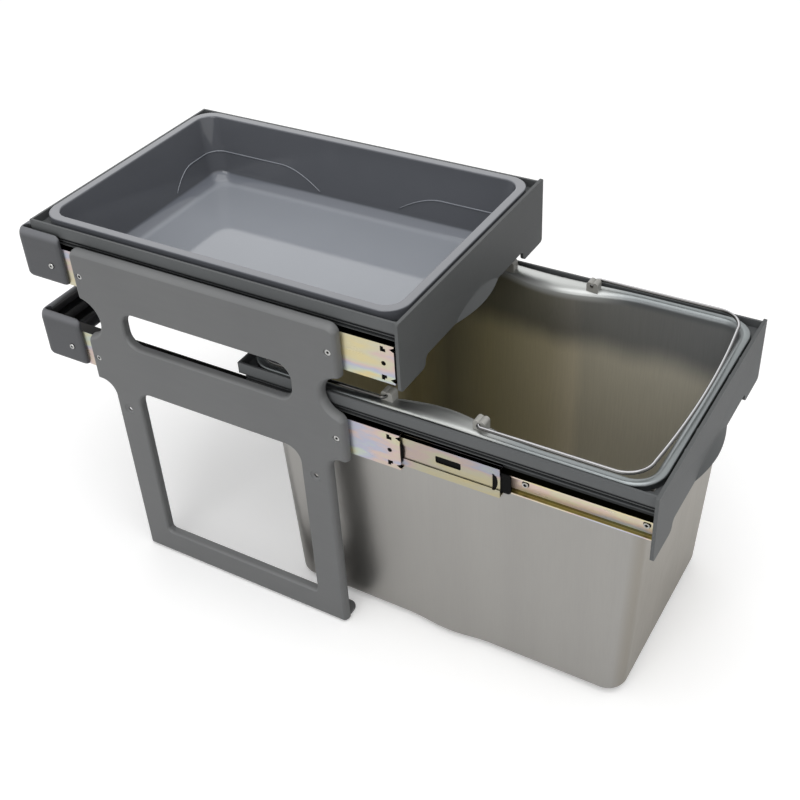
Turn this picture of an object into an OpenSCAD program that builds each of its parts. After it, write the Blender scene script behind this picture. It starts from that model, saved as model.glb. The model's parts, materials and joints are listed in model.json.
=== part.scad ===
// Two-level pull-out bin frame: two drawers on telescopic ball slides between pressed side plates.
// The upper drawer is closed and carries a lift-out tray. The lower one stands part way out
// and carries a tall bin with a hinged bag holder. X is the width, -Y is the way the drawers
// pull out, and Z = 0 is the floor. All sizes are millimetres.

/* [Unit] */
// Width over the two side plates, which fit inside a standard cabinet
frame_w = 264; // [240:1:320]
// Height from the upper drawer's slide centre line down to the lower one's
drawer_pitch = 83.8; // [80:0.1:90]
// Height of the upper slides' centre line above the floor
slide_z = 304.7; // [300:0.1:320]
// How far the lower drawer stands out at rest
rest_pull = 204.6; // [0:0.1:350]

/* [Side plates] */
// Depth of the pressed side plate, outer face to flange edge
plate_d = 8; // [6:0.5:10]
// Sheet thickness of the side plate
plate_t = 2.5; // [1.5:0.1:2.8]
// Height of the plate's top edge
plate_top = 329.5; // [325:0.5:330]
// How far each end of the plate stops short of the slides' ends
lobe_setback = 42.5; // [38:0.5:50]
// Step in from the plate's ends to its legs
leg_step = 18; // [17:0.5:22]
// Width of a leg
leg_w = 29; // [26:0.5:34]
// Height of the fixing holes in the legs
leg_hole_z = 172.3; // [100:0.1:180]
// How far a foot reaches in from the plate's outer face
foot_reach = 25; // [15:1:30]

/* [Slides] */
// Length of the slides, and their full travel
slide_len = 350; // [300:1:450]
// Height of the slides' outer member
slide_h = 35; // [35:0.5:36]
// Thickness of a complete slide
slide_t = 12.7; // [12.7:0.1:13.5]
// Height of the middle member
middle_h = 28.5; // [28:0.1:29]
// Height of the inner member
inner_h = 17.6; // [17:0.1:18]
// Balls in each row of a cage
balls_per_row = 6; // [3:1:7]

/* [Drawers] */
// Gap between the drawer frame's lip and the plane of the slides' backs
lip_gap = 2.9; // [2:0.1:5]
// Height of the lip's face
lip_h = 10.4; // [8:0.1:12]
// Height of the lip's top edge above the slide centre line
lip_above = 36.75; // [34:0.05:40]
// How far the drawer frame's rear lip stands behind the slides
lip_behind = 8.25; // [6:0.05:8.5]
// Thickness of the front plate
front_t = 2.8; // [2:0.1:3]
// How far the finger scoop's edge stands out of the front plate
scoop_out = 5.8; // [2:0.1:8]

/* [Tray] */
// Depth of the tray inside
tray_depth = 62; // [40:1:64]
// Gap between the tray's rim and the outside of the drawer's lip
tray_gap = 6.1; // [4:0.1:7]
// Height of the rim above the drawer's lip
tray_rise = 2.5; // [1:0.1:6]

/* [Bin] */
// Clear height under the bin
bin_floor_z = 3; // [2:0.5:20]
// Sheet thickness of the bin
bin_t = 1; // [0.8:0.1:1.5]
// Gap between the bin's rim and the outside of the drawer's lip
bin_gap = 3.6; // [2.6:0.1:6]
// How far the rim's long sides bow in at the middle
bin_bow = 5; // [0:0.5:6]

/* [Bag holder] */
// Diameter of the holder's wire
wire_d = 3.2; // [3:0.1:5]
// How far the wire's centre line lies inside the rim's outer edge
wire_inset = 3.3; // [3:0.1:6]
// Height of the wire's centre line above the bin's rim
wire_rise = 5.3; // [5:0.1:7]

/* [Hidden] */
$fn = 48;

// The origin is below the middle of the whole unit's box.
box_front = -rest_pull - scoop_out;
slide_y0 = 4.5;
slide_end = slide_y0 + slide_len;
bar_behind = 23.5;
frame_d = slide_end + bar_behind;
centre_y = (box_front + frame_d) / 2;
left = -1;
right = 1;
upper = 0;
lower = 1;
eps = 1;

// Where the slides stand across the width
plate_x = frame_w / 2;
slide_back = plate_x - plate_d;
web_x = slide_back - slide_t;

// Side plate outline, about the middle of the plate's length
plate_mid_y = slide_y0 + slide_len / 2 + 4;
lobe_u = slide_len / 2 - lobe_setback;
leg_out = lobe_u - leg_step;
leg_in = leg_out - leg_w;
leg_hole_u = (leg_out + leg_in) / 2;
top_r = 8;
notch_z = 261.5;
notch_r = leg_step + 0.5;
notch_upper_r = 4;
notch_lower_r = 8;
lobe_bottom = 196;
lobe_bottom_r = 3;
leg_fillet_r = 12;
foot_r = 3;
slot_z = [245, 279.4];
slot_r = 13;
window_z = [28.2, 195.6];
window_top_r = 14;
window_bottom_r = 4;
foot_pad_t = 3;
foot_pad_len = 27;
foot_pad_r = 8;
plate_screw_u = lobe_u - 8;
boss_r = 6;
screw_hole_r = 2.1;
leg_hole_r = 2.25;
leg_boss_r = 6.5;
leg_ring_r = 5.3;
leg_ring_deep = 0.6;
countersink_r = 3.6;
countersink_deep = 1.8;

// Slides, as distances in from the slide's back plane and out from its centre line
sheet = 1.2;
outer_depth = 11;
middle_back = 2.8;
middle_step = 0.9;
middle_band = 6.4;
middle_sheet = 1;
middle_depth = 11.5;
middle_y0 = slide_y0 + 17.3;
middle_len = slide_len - 25;
inner_edge = 6;
inner_y0 = slide_y0 + 0.1;
inner_len = slide_len - 5;
outer_ball_r = 1.5;
outer_ball_in = 6;
outer_ball_v = (slide_h / 2 - sheet + middle_h / 2) / 2;
inner_ball_r = (middle_h / 2 - sheet - inner_h / 2) / 2 - 0.03;
inner_ball_in = 8.5;
inner_ball_v = (middle_h / 2 - sheet + inner_h / 2) / 2;
ball_fit = 0.06;
cage_t = 0.7;
outer_cage_y0 = slide_y0 + 8 + slide_len / 4;
outer_cage_len = slide_len / 2 - 25;
outer_cage_in = 1.6;
outer_cage_edge = 9;
inner_cage_y0 = middle_y0 + 10.7 + slide_len / 4;
inner_cage_len = slide_len / 2 - 40;
inner_cage_in = 4.95;
inner_cage_edge = 10.8;
notch_v = 14;
notch_half = 2.6;
notch_deep = 4;
tab_v = 13;
tab_hole = 4.6;
tab_size = 1.8;
tab_y = 14;
front_hole_r = 2;
slot_len = 22;
slot_h = 7.5;
slot_v = 3.3;
slot_end_r = 1.5;
slot_from_front = 33.5;
catch_half = 8;
catch_sag = 2.5;
catch_w = 4.5;
catch_from_front = 2;
catch_t = 1.15;
catch_out = 8.5;
catch_in = 10.5;
catch_plate_half = 9.5;
catch_plate_r = 3;
stop_half = 11.2;
stop_sag = 1.3;
stop_depth = 3.5;
stop_t = 1.2;
slide_screw_y = [inner_y0 + 6, inner_y0 + 102, inner_y0 + 198, inner_y0 + inner_len - 19];
slide_screw_r = 1.9;
slide_screw_head_r = 3.1;

// Crossbars
bar_screw_y = slide_end - 12.5;
bar_arm_y = bar_screw_y - 12.5;
bar_arm_t = 4;
bar_below = 18.2;
bar_above = 30;
bar_back_d = 8;
bar_wall = 2.5;
bar_corner_r = 11;
bar_top_r = 10;
bar_bottom_r = 6;
bar_front_r = 4.5;
bar_rib_d = 3;
bar_head_r = 3.5;
bar_head_h = 1.6;

// Drawer frame, with heights measured down from the lip's top edge
lip_x = slide_back - lip_gap;
lip_depth = slide_end + lip_behind;
lip_t = 2;
ledge_drop = 7;
ledge_t = 2;
web_t = 2;
web_drop = 45.5;
rear_web_drop = 30;
well_y0 = 9.1;
well_y1 = lip_depth - 11.15;
web_end = 5;
rib_drops = [13, 16.4];
rib_t = 1;
rib_out = 8.5;
gusset_x = [37, 63];
gusset_t = 2;
gusset_d = 1.1;

// Front plate outline, with heights measured down from the lip's top edge
front_half = slide_back;
front_rise = 1.15;
front_side_drop = 60;
front_bottom_drop = 49.9;
front_step_x = front_half - 38;
scoop_half = 38;
scoop_h = 11.5;
front_corner_r = 1.5;
front_tip_r = 3;

// Tray and bin, in the closed drawer's place
tray_y0 = 4.6;
tray_y1 = lip_depth - 5.75;
tray_rim_x = lip_x - tray_gap;
tray_rim_w = 8;
tray_t = 2;
tray_skirt = tray_rise + ledge_drop;
tray_corner_r = 20;
tray_draft_x = 9;
tray_draft_y = 13;
tray_floor_r = 11;
bin_y0 = 4.1;
bin_y1 = lip_depth - 3.15;
bin_rim_x = lip_x - bin_gap;
bin_rim_w = 9.2;
bin_corner_r = 26;
bin_wall_gap = 0.3;
bin_wall_x = web_x - web_t - bin_wall_gap;
bin_draft_x = 11.5;
bin_draft_front = 12.3;
bin_draft_rear = 2.4;
bin_edge_r = 6;

// Bag holder, in the closed drawer's place
wire_x = bin_rim_x - wire_inset;
front_pivot_y = bin_y0 + 142.5;
rear_pivot_y = front_pivot_y + 80;
front_bar_y = bin_y0 + 6.5;
rear_bar_y = bin_y1 - 9;
ring_corner_r = 22;
ring_pin_len = 8;
ring_bend_r = 3;
clip_len = 10;
clip_over = 1;
clip_wall = 1.8;
clip_r = wire_d / 2 + clip_wall;
clip_under_pin = 2;
clip_leg_t = 1.6;
clip_leg_down = 8;
clip_leg_gap = 0.7;
pin_fit = 0.08;

function lip_z(level) = slide_z + lip_above - level * drawer_pitch;
function slide_centre(level) = slide_z - level * drawer_pitch;
function pull(level) = level * rest_pull;

// Points of an arc about a centre, from one angle to another
function arc(c, r, a0, a1, steps = 8) =
    [for (i = [0:steps]) let (a = a0 + (a1 - a0) * i / steps) [c[0] + r * cos(a), c[1] + r * sin(a)]];

// Rounded rectangle from a low to a high corner, with its own radius at the bottom and at the top
function rounded_box(lo, hi, r_low, r_high) = concat(
    arc([hi[0] - r_low, lo[1] + r_low], r_low, -90, 0),
    arc([hi[0] - r_high, hi[1] - r_high], r_high, 0, 90),
    arc([lo[0] + r_high, hi[1] - r_high], r_high, 90, 180),
    arc([lo[0] + r_low, lo[1] + r_low], r_low, 180, 270));

function mirrored(half) = concat(half, [for (i = [len(half) - 1:-1:0]) [-half[i][0], half[i][1]]]);

// Rise from the middle of the notch to the centre of the arc that leads into it
function notch_rise(r) = sqrt(pow(notch_r + r, 2) - r * r);

// One half of the side plate's outline, drawn in by a wall thickness
function plate_half(wall) = let (
        up = notch_rise(notch_upper_r),
        down = notch_rise(notch_lower_r),
        up_a = atan2(up, notch_upper_r),
        down_a = atan2(down, notch_lower_r))
    concat(
        arc([lobe_u - top_r, plate_top - top_r], top_r - wall, 90, 0),
        arc([lobe_u - notch_upper_r, notch_z + up], notch_upper_r - wall, 0, -up_a),
        arc([lobe_u, notch_z], notch_r + wall, 180 - up_a, 180 + down_a, 16),
        arc([lobe_u - notch_lower_r, notch_z - down], notch_lower_r - wall, down_a, 0),
        arc([lobe_u - lobe_bottom_r, lobe_bottom + lobe_bottom_r], lobe_bottom_r - wall, 0, -90),
        arc([leg_out + leg_fillet_r, lobe_bottom - leg_fillet_r], leg_fillet_r + wall, 90, 180),
        arc([leg_out - foot_r, foot_r], foot_r - wall, 0, -90));

function window(z, r_low, r_high, wall) =
    rounded_box([-leg_in - wall, z[0] - wall], [leg_in + wall, z[1] + wall], r_low + wall, r_high + wall);

// Stands an outline drawn in (Y, Z) up and gives it a depth along +X
module across(depth) {
    rotate([90, 0, 90]) linear_extrude(depth) children();
}

// Gives an outline drawn in (X, Z) a length along +Y
module along(y0, length) {
    translate([0, y0 + length, 0]) rotate([90, 0, 0]) linear_extrude(length) children();
}

module place(level = upper, z = 0) {
    translate([0, -pull(level) - centre_y, z]) children();
}

module on_side(side) {
    mirror([side < 0 ? 1 : 0, 0, 0]) children();
}

// A cylinder along +X, from x0
module peg(x0, length, r, y, z, r_end = -1) {
    translate([x0, y, z]) rotate([0, 90, 0]) cylinder(h = length, r1 = r, r2 = r_end < 0 ? r : r_end);
}

module plate_face(wall) {
    difference() {
        polygon(mirrored(plate_half(wall)));
        polygon(window(slot_z, slot_r, slot_r, wall));
        polygon(window(window_z, window_bottom_r, window_top_r, wall));
    }
}

module each_plate_screw() {
    for (u = [-plate_screw_u, plate_screw_u], level = [upper, lower])
        translate([0, plate_mid_y + u, slide_centre(level)]) children();
}

module each_leg_hole() {
    for (u = [-leg_hole_u, leg_hole_u]) translate([0, plate_mid_y + u, leg_hole_z]) children();
}

module side_plate(side) {
    color([0.42, 0.43, 0.45]) place() on_side(side) difference() {
        union() {
            difference() {
                translate([slide_back, plate_mid_y, 0]) across(plate_d) plate_face(0);
                translate([slide_back - eps, plate_mid_y, 0]) across(plate_d - plate_t + eps)
                    plate_face(plate_t);
            }
            each_plate_screw() peg(slide_back, plate_d, boss_r, 0, 0);
            each_leg_hole() peg(slide_back, plate_d, leg_boss_r, 0, 0);
            for (u = [-1, 1]) foot_pad(u);
        }
        each_plate_screw() {
            peg(slide_back - eps, plate_d + 2 * eps, screw_hole_r, 0, 0);
            peg(plate_x - countersink_deep, countersink_deep, screw_hole_r, 0, 0, countersink_r);
        }
        each_leg_hole() {
            peg(slide_back - eps, plate_d + 2 * eps, leg_hole_r, 0, 0);
            peg(plate_x - leg_ring_deep, plate_d, leg_ring_r, 0, 0);
        }
    }
}

// The foot turned in from the bottom of a leg
module foot_pad(end) {
    outer = plate_x - foot_r;
    inner = plate_x - foot_reach;
    far = end * (leg_in + foot_pad_len);
    near = end * leg_in;
    lo = min(far, near);
    hi = max(far, near);
    translate([0, plate_mid_y, 0]) linear_extrude(foot_pad_t) polygon(concat(
        [[outer, lo], [outer, hi]],
        arc([inner + foot_pad_r, hi - foot_pad_r], foot_pad_r, 90, 180),
        arc([inner + foot_pad_r, lo + foot_pad_r], foot_pad_r, 180, 270)));
}

// Countersunk screws through the plates into the slides
module side_plate_screws() {
    color([0.70, 0.70, 0.70]) place() for (side = [left, right]) on_side(side) each_plate_screw() difference() {
        union() {
            peg(plate_x - countersink_deep, countersink_deep, screw_hole_r, 0, 0, countersink_r);
            peg(slide_back - sheet, plate_d + sheet - countersink_deep, screw_hole_r, 0, 0);
        }
        peg(plate_x - 1, 2, 1, 0, 0);
    }
}

// One crossbar: two arms that take the slides' rear ends, and a shallow channel across the back
module rear_crossbar(level) {
    z0 = slide_centre(level) - bar_below;
    height = bar_below + bar_above;
    outer = slide_back + bar_arm_t;
    back = frame_d - bar_back_d;
    color([0.38, 0.39, 0.41]) place(upper, z0) difference() {
        intersection() {
            linear_extrude(height) polygon(mirrored(concat(
                [[outer, bar_arm_y]],
                arc([outer - bar_corner_r, frame_d - bar_corner_r], bar_corner_r, 0, 90))));
            translate([-outer - eps, 0, 0]) across(2 * (outer + eps)) polygon(concat(
                arc([frame_d - bar_bottom_r, bar_bottom_r], bar_bottom_r, -90, 0),
                arc([frame_d - bar_top_r, height - bar_top_r], bar_top_r, 0, 90),
                arc([bar_arm_y + bar_front_r, height - bar_front_r], bar_front_r, 90, 180),
                arc([bar_arm_y + bar_front_r, bar_front_r], bar_front_r, 180, 270)));
        }
        translate([-slide_back, 0, -eps]) cube([2 * slide_back, back, height + 2 * eps]);
        translate([-slide_back + bar_corner_r / 2, 0, 0]) across(2 * slide_back - bar_corner_r) polygon(concat(
            arc([frame_d - bar_bottom_r, bar_bottom_r], bar_bottom_r - bar_wall, -90, 0),
            arc([frame_d - bar_top_r, height - bar_top_r], bar_top_r - bar_wall, 0, 90),
            [[back - eps, height - bar_wall], [back - eps, bar_wall]]));
        for (side = [left, right]) on_side(side)
            peg(slide_back - eps, bar_arm_t + 2 * eps, screw_hole_r, bar_screw_y, bar_below);
    }
    color([0.38, 0.39, 0.41]) place(upper, z0) for (i = [1, 2])
        translate([-slide_back + bar_corner_r / 2, frame_d - bar_wall - bar_rib_d, i * height / 3 - bar_wall / 2])
            cube([2 * slide_back - bar_corner_r, bar_rib_d, bar_wall / 2]);
}

// Pan head screws through the crossbars' arms
module crossbar_screws() {
    color([0.70, 0.70, 0.70]) place() for (side = [left, right], level = [upper, lower]) on_side(side) {
        difference() {
            peg(slide_back + bar_arm_t, bar_head_h, bar_head_r, bar_screw_y, slide_centre(level), bar_head_r - 1);
            peg(slide_back + bar_arm_t + 0.8, 2, 1, bar_screw_y, slide_centre(level));
        }
        peg(slide_back - sheet, bar_arm_t + sheet, screw_hole_r, bar_screw_y, slide_centre(level));
    }
}

// A channel in cross section: its web at one depth and its flanges reaching to another
module channel(web_in, edge_in, height) {
    low = min(web_in, edge_in);
    web = web_in < edge_in ? web_in : web_in - sheet;
    translate([slide_back - web - sheet, -height / 2]) square([sheet, height]);
    for (v = [-height / 2, height / 2 - sheet])
        translate([slide_back - max(web_in, edge_in), v]) square([max(web_in, edge_in) - low, sheet]);
}

// Moves to a slide's centre line
module slide_place(level, side) {
    place(level, slide_centre(level)) on_side(side) children();
}

// The middle member in cross section: a web set back between two raceway bands, and two flanges
module stepped_channel() {
    half = middle_h / 2;
    outer_face = slide_back - middle_back;
    for (side = [-1, 1]) mirror([0, side < 0 ? 1 : 0]) {
        translate([outer_face - middle_sheet, half - middle_band]) square([middle_sheet, middle_band]);
        translate([outer_face - middle_step - middle_sheet, half - middle_band - middle_sheet])
            square([middle_step + middle_sheet, middle_sheet]);
        translate([slide_back - middle_depth, half - sheet]) square([middle_depth - middle_back, sheet]);
    }
    translate([outer_face - middle_step - middle_sheet, middle_band - half])
        square([middle_sheet, middle_h - 2 * middle_band]);
}

module slide_outer(level, side) {
    color([0.80, 0.76, 0.66]) translate([0, pull(level), 0]) slide_place(level, side) difference() {
        along(slide_y0, slide_len) channel(0, outer_depth, slide_h);
        for (v = [-1, 1]) {
            translate([slide_back - sheet - eps, slide_y0, v * notch_v]) across(sheet + 2 * eps)
                polygon([[-eps, -notch_half], [notch_deep, 0], [-eps, notch_half]]);
            translate([slide_back - sheet - eps, tab_y, v * tab_v]) across(sheet + 2 * eps) difference() {
                square(tab_hole, center = true);
                mirror([0, v < 0 ? 1 : 0]) translate([-tab_hole / 2, tab_hole / 2 - tab_size]) square(tab_size);
            }
            translate([slide_back - outer_ball_in, slide_y0 - eps, v * outer_ball_v]) rotate([-90, 0, 0])
                cylinder(h = slide_len + 2 * eps, r = outer_ball_r + ball_fit);
        }
        peg(slide_back - sheet - eps, sheet + 2 * eps, front_hole_r, tab_y, 0);
        peg(slide_back - sheet - eps, sheet + 2 * eps, screw_hole_r, bar_screw_y, 0);
        for (u = [-plate_screw_u, plate_screw_u])
            peg(slide_back - sheet - eps, sheet + 2 * eps, screw_hole_r, plate_mid_y + u, 0);
    }
}

// Points of a bow with its middle at x and its two ends at a half height, further along X
function bow(x, half, sag) = let (r = (half * half + sag * sag) / (2 * sag), a = asin(half / r))
    arc([x + r, 0], r, 180 - a, 180 + a);

// Black stops at the outer members' front ends
module outer_bumpers(level) {
    color([0.06, 0.06, 0.06]) for (side = [left, right])
        translate([0, pull(level), 0]) slide_place(level, side)
            translate([slide_back - sheet - stop_t, slide_y0 - stop_sag, 0]) across(stop_t)
                polygon(concat(bow(0, stop_half, stop_sag),
                    [[stop_sag + stop_depth, -stop_half], [stop_sag + stop_depth, stop_half]]));
}

// The middle members run half as far out as the drawer
module middle_place(level, side) {
    translate([0, pull(level) / 2, 0]) slide_place(level, side) children();
}

module slide_middle(level, side) {
    slot_y = middle_y0 + slot_from_front;
    cut_x = slide_back - middle_back - middle_step - middle_sheet - eps;
    cut_d = middle_step + middle_sheet + 2 * eps;
    color([0.80, 0.76, 0.66]) middle_place(level, side) difference() {
        along(middle_y0, middle_len) stepped_channel();
        translate([cut_x, slot_y, slot_v - slot_h / 2]) across(cut_d)
            polygon(rounded_box([0, 0], [slot_len, slot_h], slot_end_r, slot_end_r));
        translate([cut_x, middle_y0 + catch_from_front, 0]) across(cut_d) catch_window();
        for (v = [-1, 1])
            translate([slide_back - outer_ball_in, middle_y0 - eps, v * outer_ball_v]) rotate([-90, 0, 0])
                cylinder(h = middle_len + 2 * eps, r = outer_ball_r + ball_fit);
    }
}

// The catch's window in the middle member: bowed to the front and straight behind
module catch_window() {
    polygon(concat(bow(0, catch_half, catch_sag), [[catch_w, -catch_half], [catch_w, catch_half]]));
}

// Black catch and stop at the front of each middle member
module middle_bumpers(level) {
    web_in = middle_back + middle_step + middle_sheet;
    color([0.06, 0.06, 0.06]) for (side = [left, right]) middle_place(level, side)
        translate([slide_back - web_in - catch_t, middle_y0, 0]) {
            across(catch_t) polygon(rounded_box([-catch_out, -catch_plate_half],
                [catch_in, catch_plate_half], catch_plate_r, catch_plate_r));
            translate([0, catch_from_front, 0]) across(catch_t + middle_sheet) catch_window();
        }
}

module slide_inner(level, side) {
    color([0.80, 0.76, 0.66]) slide_place(level, side) difference() {
        along(inner_y0, inner_len) channel(slide_t, inner_edge, inner_h);
        for (y = slide_screw_y) {
            peg(web_x - eps, sheet + 2 * eps, slide_screw_r, y, 0);
        }
    }
}

// One cage: a thin channel with a hole for each ball
module cage(y0, length, web_in, edge_in, v, ball_in, ball_r) {
    difference() {
        along(y0, length) {
            translate([slide_back - web_in - cage_t, -v]) square([cage_t, 2 * v]);
            for (row = [-v - cage_t / 2, v - cage_t / 2])
                translate([slide_back - edge_in, row]) square([edge_in - web_in, cage_t]);
        }
        each_ball(y0, length, v, ball_in) translate([0, 0, -cage_t * 2])
            cylinder(h = 4 * cage_t, r = ball_r + ball_fit);
    }
}

module each_ball(y0, length, v, ball_in) {
    step = length / balls_per_row;
    for (row = [-v, v], i = [0:balls_per_row - 1])
        translate([slide_back - ball_in, y0 + (i + 0.5) * step, row]) children();
}

// The cages run a quarter and three quarters as far out as the drawer
module cage_place(level, side, share) {
    translate([0, pull(level) * (1 - share), 0]) slide_place(level, side) children();
}

module outer_cage(level, side) {
    color([0.15, 0.15, 0.16]) cage_place(level, side, 0.25)
        cage(outer_cage_y0, outer_cage_len, outer_cage_in, outer_cage_edge,
            outer_ball_v, outer_ball_in, outer_ball_r);
}

module inner_cage(level, side) {
    color([0.15, 0.15, 0.16]) cage_place(level, side, 0.75)
        cage(inner_cage_y0, inner_cage_len, inner_cage_in, inner_cage_edge,
            inner_ball_v, inner_ball_in, inner_ball_r);
}

module outer_balls(level) {
    color([0.75, 0.75, 0.76]) for (side = [left, right]) cage_place(level, side, 0.25)
        each_ball(outer_cage_y0, outer_cage_len, outer_ball_v, outer_ball_in) sphere(r = outer_ball_r);
}

module inner_balls(level) {
    color([0.75, 0.75, 0.76]) for (side = [left, right]) cage_place(level, side, 0.75)
        each_ball(inner_cage_y0, inner_cage_len, inner_ball_v, inner_ball_in) sphere(r = inner_ball_r);
}

// Countersunk screws that hold the inner members to the drawer frame
module slide_screws(level) {
    color([0.72, 0.70, 0.64]) for (side = [left, right]) slide_place(level, side) for (y = slide_screw_y) {
        peg(web_x - web_t - 1.5, web_t + 1.5 + sheet, slide_screw_r, y, 0);
        difference() {
            peg(web_x + sheet, 1.5, slide_screw_head_r, y, 0, slide_screw_head_r - 0.8);
            peg(web_x + sheet + 0.7, 2, 1.1, y, 0);
        }
    }
}

// The moulded frame that carries the tray or the bin
module drawer_frame(level) {
    rear = lip_depth - web_end;
    color([0.36, 0.37, 0.39]) place(level, lip_z(level)) difference() {
        union() {
            translate([-lip_x, front_t, -lip_h]) cube([2 * lip_x, lip_depth - front_t, lip_h]);
            translate([-web_x, front_t, -web_drop]) cube([2 * web_x, rear - front_t, web_drop - ledge_drop]);
            for (side = [left, right], drop = rib_drops) on_side(side)
                translate([web_x, front_t, -drop - rib_t]) cube([rib_out, rear - front_t, rib_t]);
        }
        // the well through the frame
        translate([-web_x + web_t, well_y0, -web_drop - eps])
            cube([2 * (web_x - web_t), well_y1 - well_y0, web_drop + 2 * eps]);
        // the trough between the lip and the rim that hangs in the frame
        translate([-lip_x + lip_t, front_t - eps, -ledge_drop])
            cube([2 * (lip_x - lip_t), lip_depth - front_t - lip_t + eps, ledge_drop + eps]);
        // the hollow under the ledge, outside the rear and front webs
        translate([-lip_x + lip_t, rear, -lip_h - eps])
            cube([2 * (lip_x - lip_t), web_end - lip_t, lip_h + eps - ledge_drop - ledge_t]);
        for (side = [left, right]) on_side(side)
            translate([web_x, front_t - eps, -lip_h - eps])
                cube([lip_x - lip_t - web_x, rear - front_t + 2 * eps, lip_h + eps - ledge_drop - ledge_t]);
        translate([-web_x - eps, well_y1 + web_t, -web_drop - eps])
            cube([2 * (web_x + eps), rear, web_drop - ledge_drop - ledge_t + eps]);
        translate([-web_x + web_t, well_y0 - eps, -web_drop - eps])
            cube([2 * (web_x - web_t), rear, web_drop - rear_web_drop + eps]);
        translate([-web_x + web_t, front_t - eps, -web_drop - eps])
            cube([2 * (web_x - web_t), well_y0 - web_t - front_t + eps, web_drop - ledge_drop - ledge_t + eps]);
        translate([-web_x + web_t, front_t, -web_drop - eps])
            cube([2 * (web_x - web_t), well_y0, web_drop - rear_web_drop + eps]);
        for (side = [left, right], y = slide_screw_y) on_side(side)
            peg(web_x - web_t - eps, web_t + 2 * eps, slide_screw_r, y, -lip_above);
    }
    color([0.36, 0.37, 0.39]) place(level, lip_z(level)) for (side = [left, right], x = gusset_x) on_side(side)
        translate([x - gusset_t / 2, front_t, -ledge_drop]) cube([gusset_t, gusset_d, ledge_drop - 0.5]);
}

// The front plate: a flat apron whose lower middle is turned out into a finger scoop
module drawer_front(level) {
    scoop_r = (scoop_half * scoop_half + scoop_h * scoop_h) / (2 * scoop_h);
    scoop_z = -front_bottom_drop + scoop_h - scoop_r;
    step_r = (front_side_drop - front_bottom_drop) / 2;
    inner_r = scoop_r - scoop_h;
    color([0.36, 0.37, 0.39]) place(level, lip_z(level)) {
        difference() {
            along(0, front_t) polygon(mirrored(concat(
                arc([front_half - front_corner_r, front_rise - front_corner_r], front_corner_r, 90, 0),
                arc([front_half - front_tip_r, front_tip_r - front_side_drop], front_tip_r, 0, -90),
                arc([front_step_x + step_r, step_r - front_side_drop], step_r, 270, 180),
                arc([front_step_x - step_r, -front_bottom_drop - step_r], step_r, 0, 90))));
            translate([0, -eps, scoop_z]) rotate([-90, 0, 0]) cylinder(h = front_t + 2 * eps, r = scoop_r - 0.01, $fn = 96);
        }
        intersection() {
            translate([0, 0, scoop_z]) rotate([-90, 0, 0]) rotate_extrude($fn = 96) polygon([
                [inner_r - eps, -scoop_out * (1 + eps / scoop_h)],
                [scoop_r, 0],
                [scoop_r, front_t],
                [inner_r - eps, front_t - scoop_out * (1 + eps / scoop_h)]]);
            translate([-scoop_half, -scoop_out, -front_bottom_drop])
                cube([2 * scoop_half, scoop_out + front_t, scoop_h + eps]);
        }
    }
}

// A tub's outer or inner form: rounded at the rim, drafted down to a rounded floor
module tub_form(top, bottom, z_top, z_bottom, r_top, r_edge) {
    hull() {
        translate([0, 0, z_top - 0.5]) linear_extrude(0.5)
            polygon(rounded_box([-top[0], top[1]], [top[0], top[2]], r_top, r_top));
        for (x = [-1, 1], y = [bottom[1] + r_top, bottom[2] - r_top])
            translate([x * (bottom[0] - r_top), y, z_bottom]) rounded_foot(r_top, r_edge);
    }
}

module rounded_foot(r, edge) {
    rotate_extrude($fn = 32) polygon(concat(
        [[0, 0]], arc([r - edge, edge], edge, -90, 0, 5), [[r, edge + 1], [0, edge + 1]]));
}

module tray() {
    z_top = lip_z(upper) + tray_rise;
    z_floor = z_top - tray_depth;
    in_x = tray_rim_x - tray_rim_w;
    floor_x = in_x - tray_draft_x;
    in_y0 = tray_y0 + tray_rim_w;
    in_y1 = tray_y1 - tray_rim_w;
    inner_r = tray_corner_r - 5;
    color([0.45, 0.46, 0.49]) place() difference() {
        union() {
            translate([0, 0, z_top - tray_skirt]) linear_extrude(tray_skirt)
                polygon(rounded_box([-tray_rim_x, tray_y0], [tray_rim_x, tray_y1], tray_corner_r, tray_corner_r));
            tub_form([in_x + tray_t, in_y0 - tray_t, in_y1 + tray_t],
                [floor_x + tray_t, in_y0 + tray_draft_y - tray_t, in_y1 - tray_draft_y + tray_t],
                z_top, z_floor - tray_t, inner_r + tray_t, tray_floor_r + tray_t);
        }
        // the hollow under the rim, between the skirt and the wall
        translate([0, 0, z_top - tray_skirt - eps]) linear_extrude(tray_skirt - tray_t + eps) difference() {
            polygon(rounded_box([-tray_rim_x + tray_t, tray_y0 + tray_t],
                [tray_rim_x - tray_t, tray_y1 - tray_t], tray_corner_r - tray_t, tray_corner_r - tray_t));
            polygon(rounded_box([-in_x - tray_t, in_y0 - tray_t],
                [in_x + tray_t, in_y1 + tray_t], inner_r + tray_t, inner_r + tray_t));
        }
        translate([0, 0, 0.01]) tub_form([in_x, in_y0, in_y1],
            [floor_x, in_y0 + tray_draft_y, in_y1 - tray_draft_y],
            z_top, z_floor, inner_r, tray_floor_r);
    }
}

// One long side of the bin's rim, bowed in at the middle
function bowed_side(x, y0, y1, r, steps = 16) =
    [for (i = [0:steps]) let (s = 2 * i / steps - 1) [x - bin_bow * (1 - s * s), y0 + r + (y1 - y0 - 2 * r) * i / steps]];

function bowed_box(x, y0, y1, r) = mirrored(concat(
    arc([x - r, y0 + r], r, -90, 0), bowed_side(x, y0, y1, r), arc([x - r, y1 - r], r, 0, 90)));

module bin() {
    color([0.66, 0.64, 0.61]) place(lower) difference() {
        bin_wall(0, lip_z(lower));
        bin_wall(bin_t, lip_z(lower) + eps);
    }
}

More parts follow.
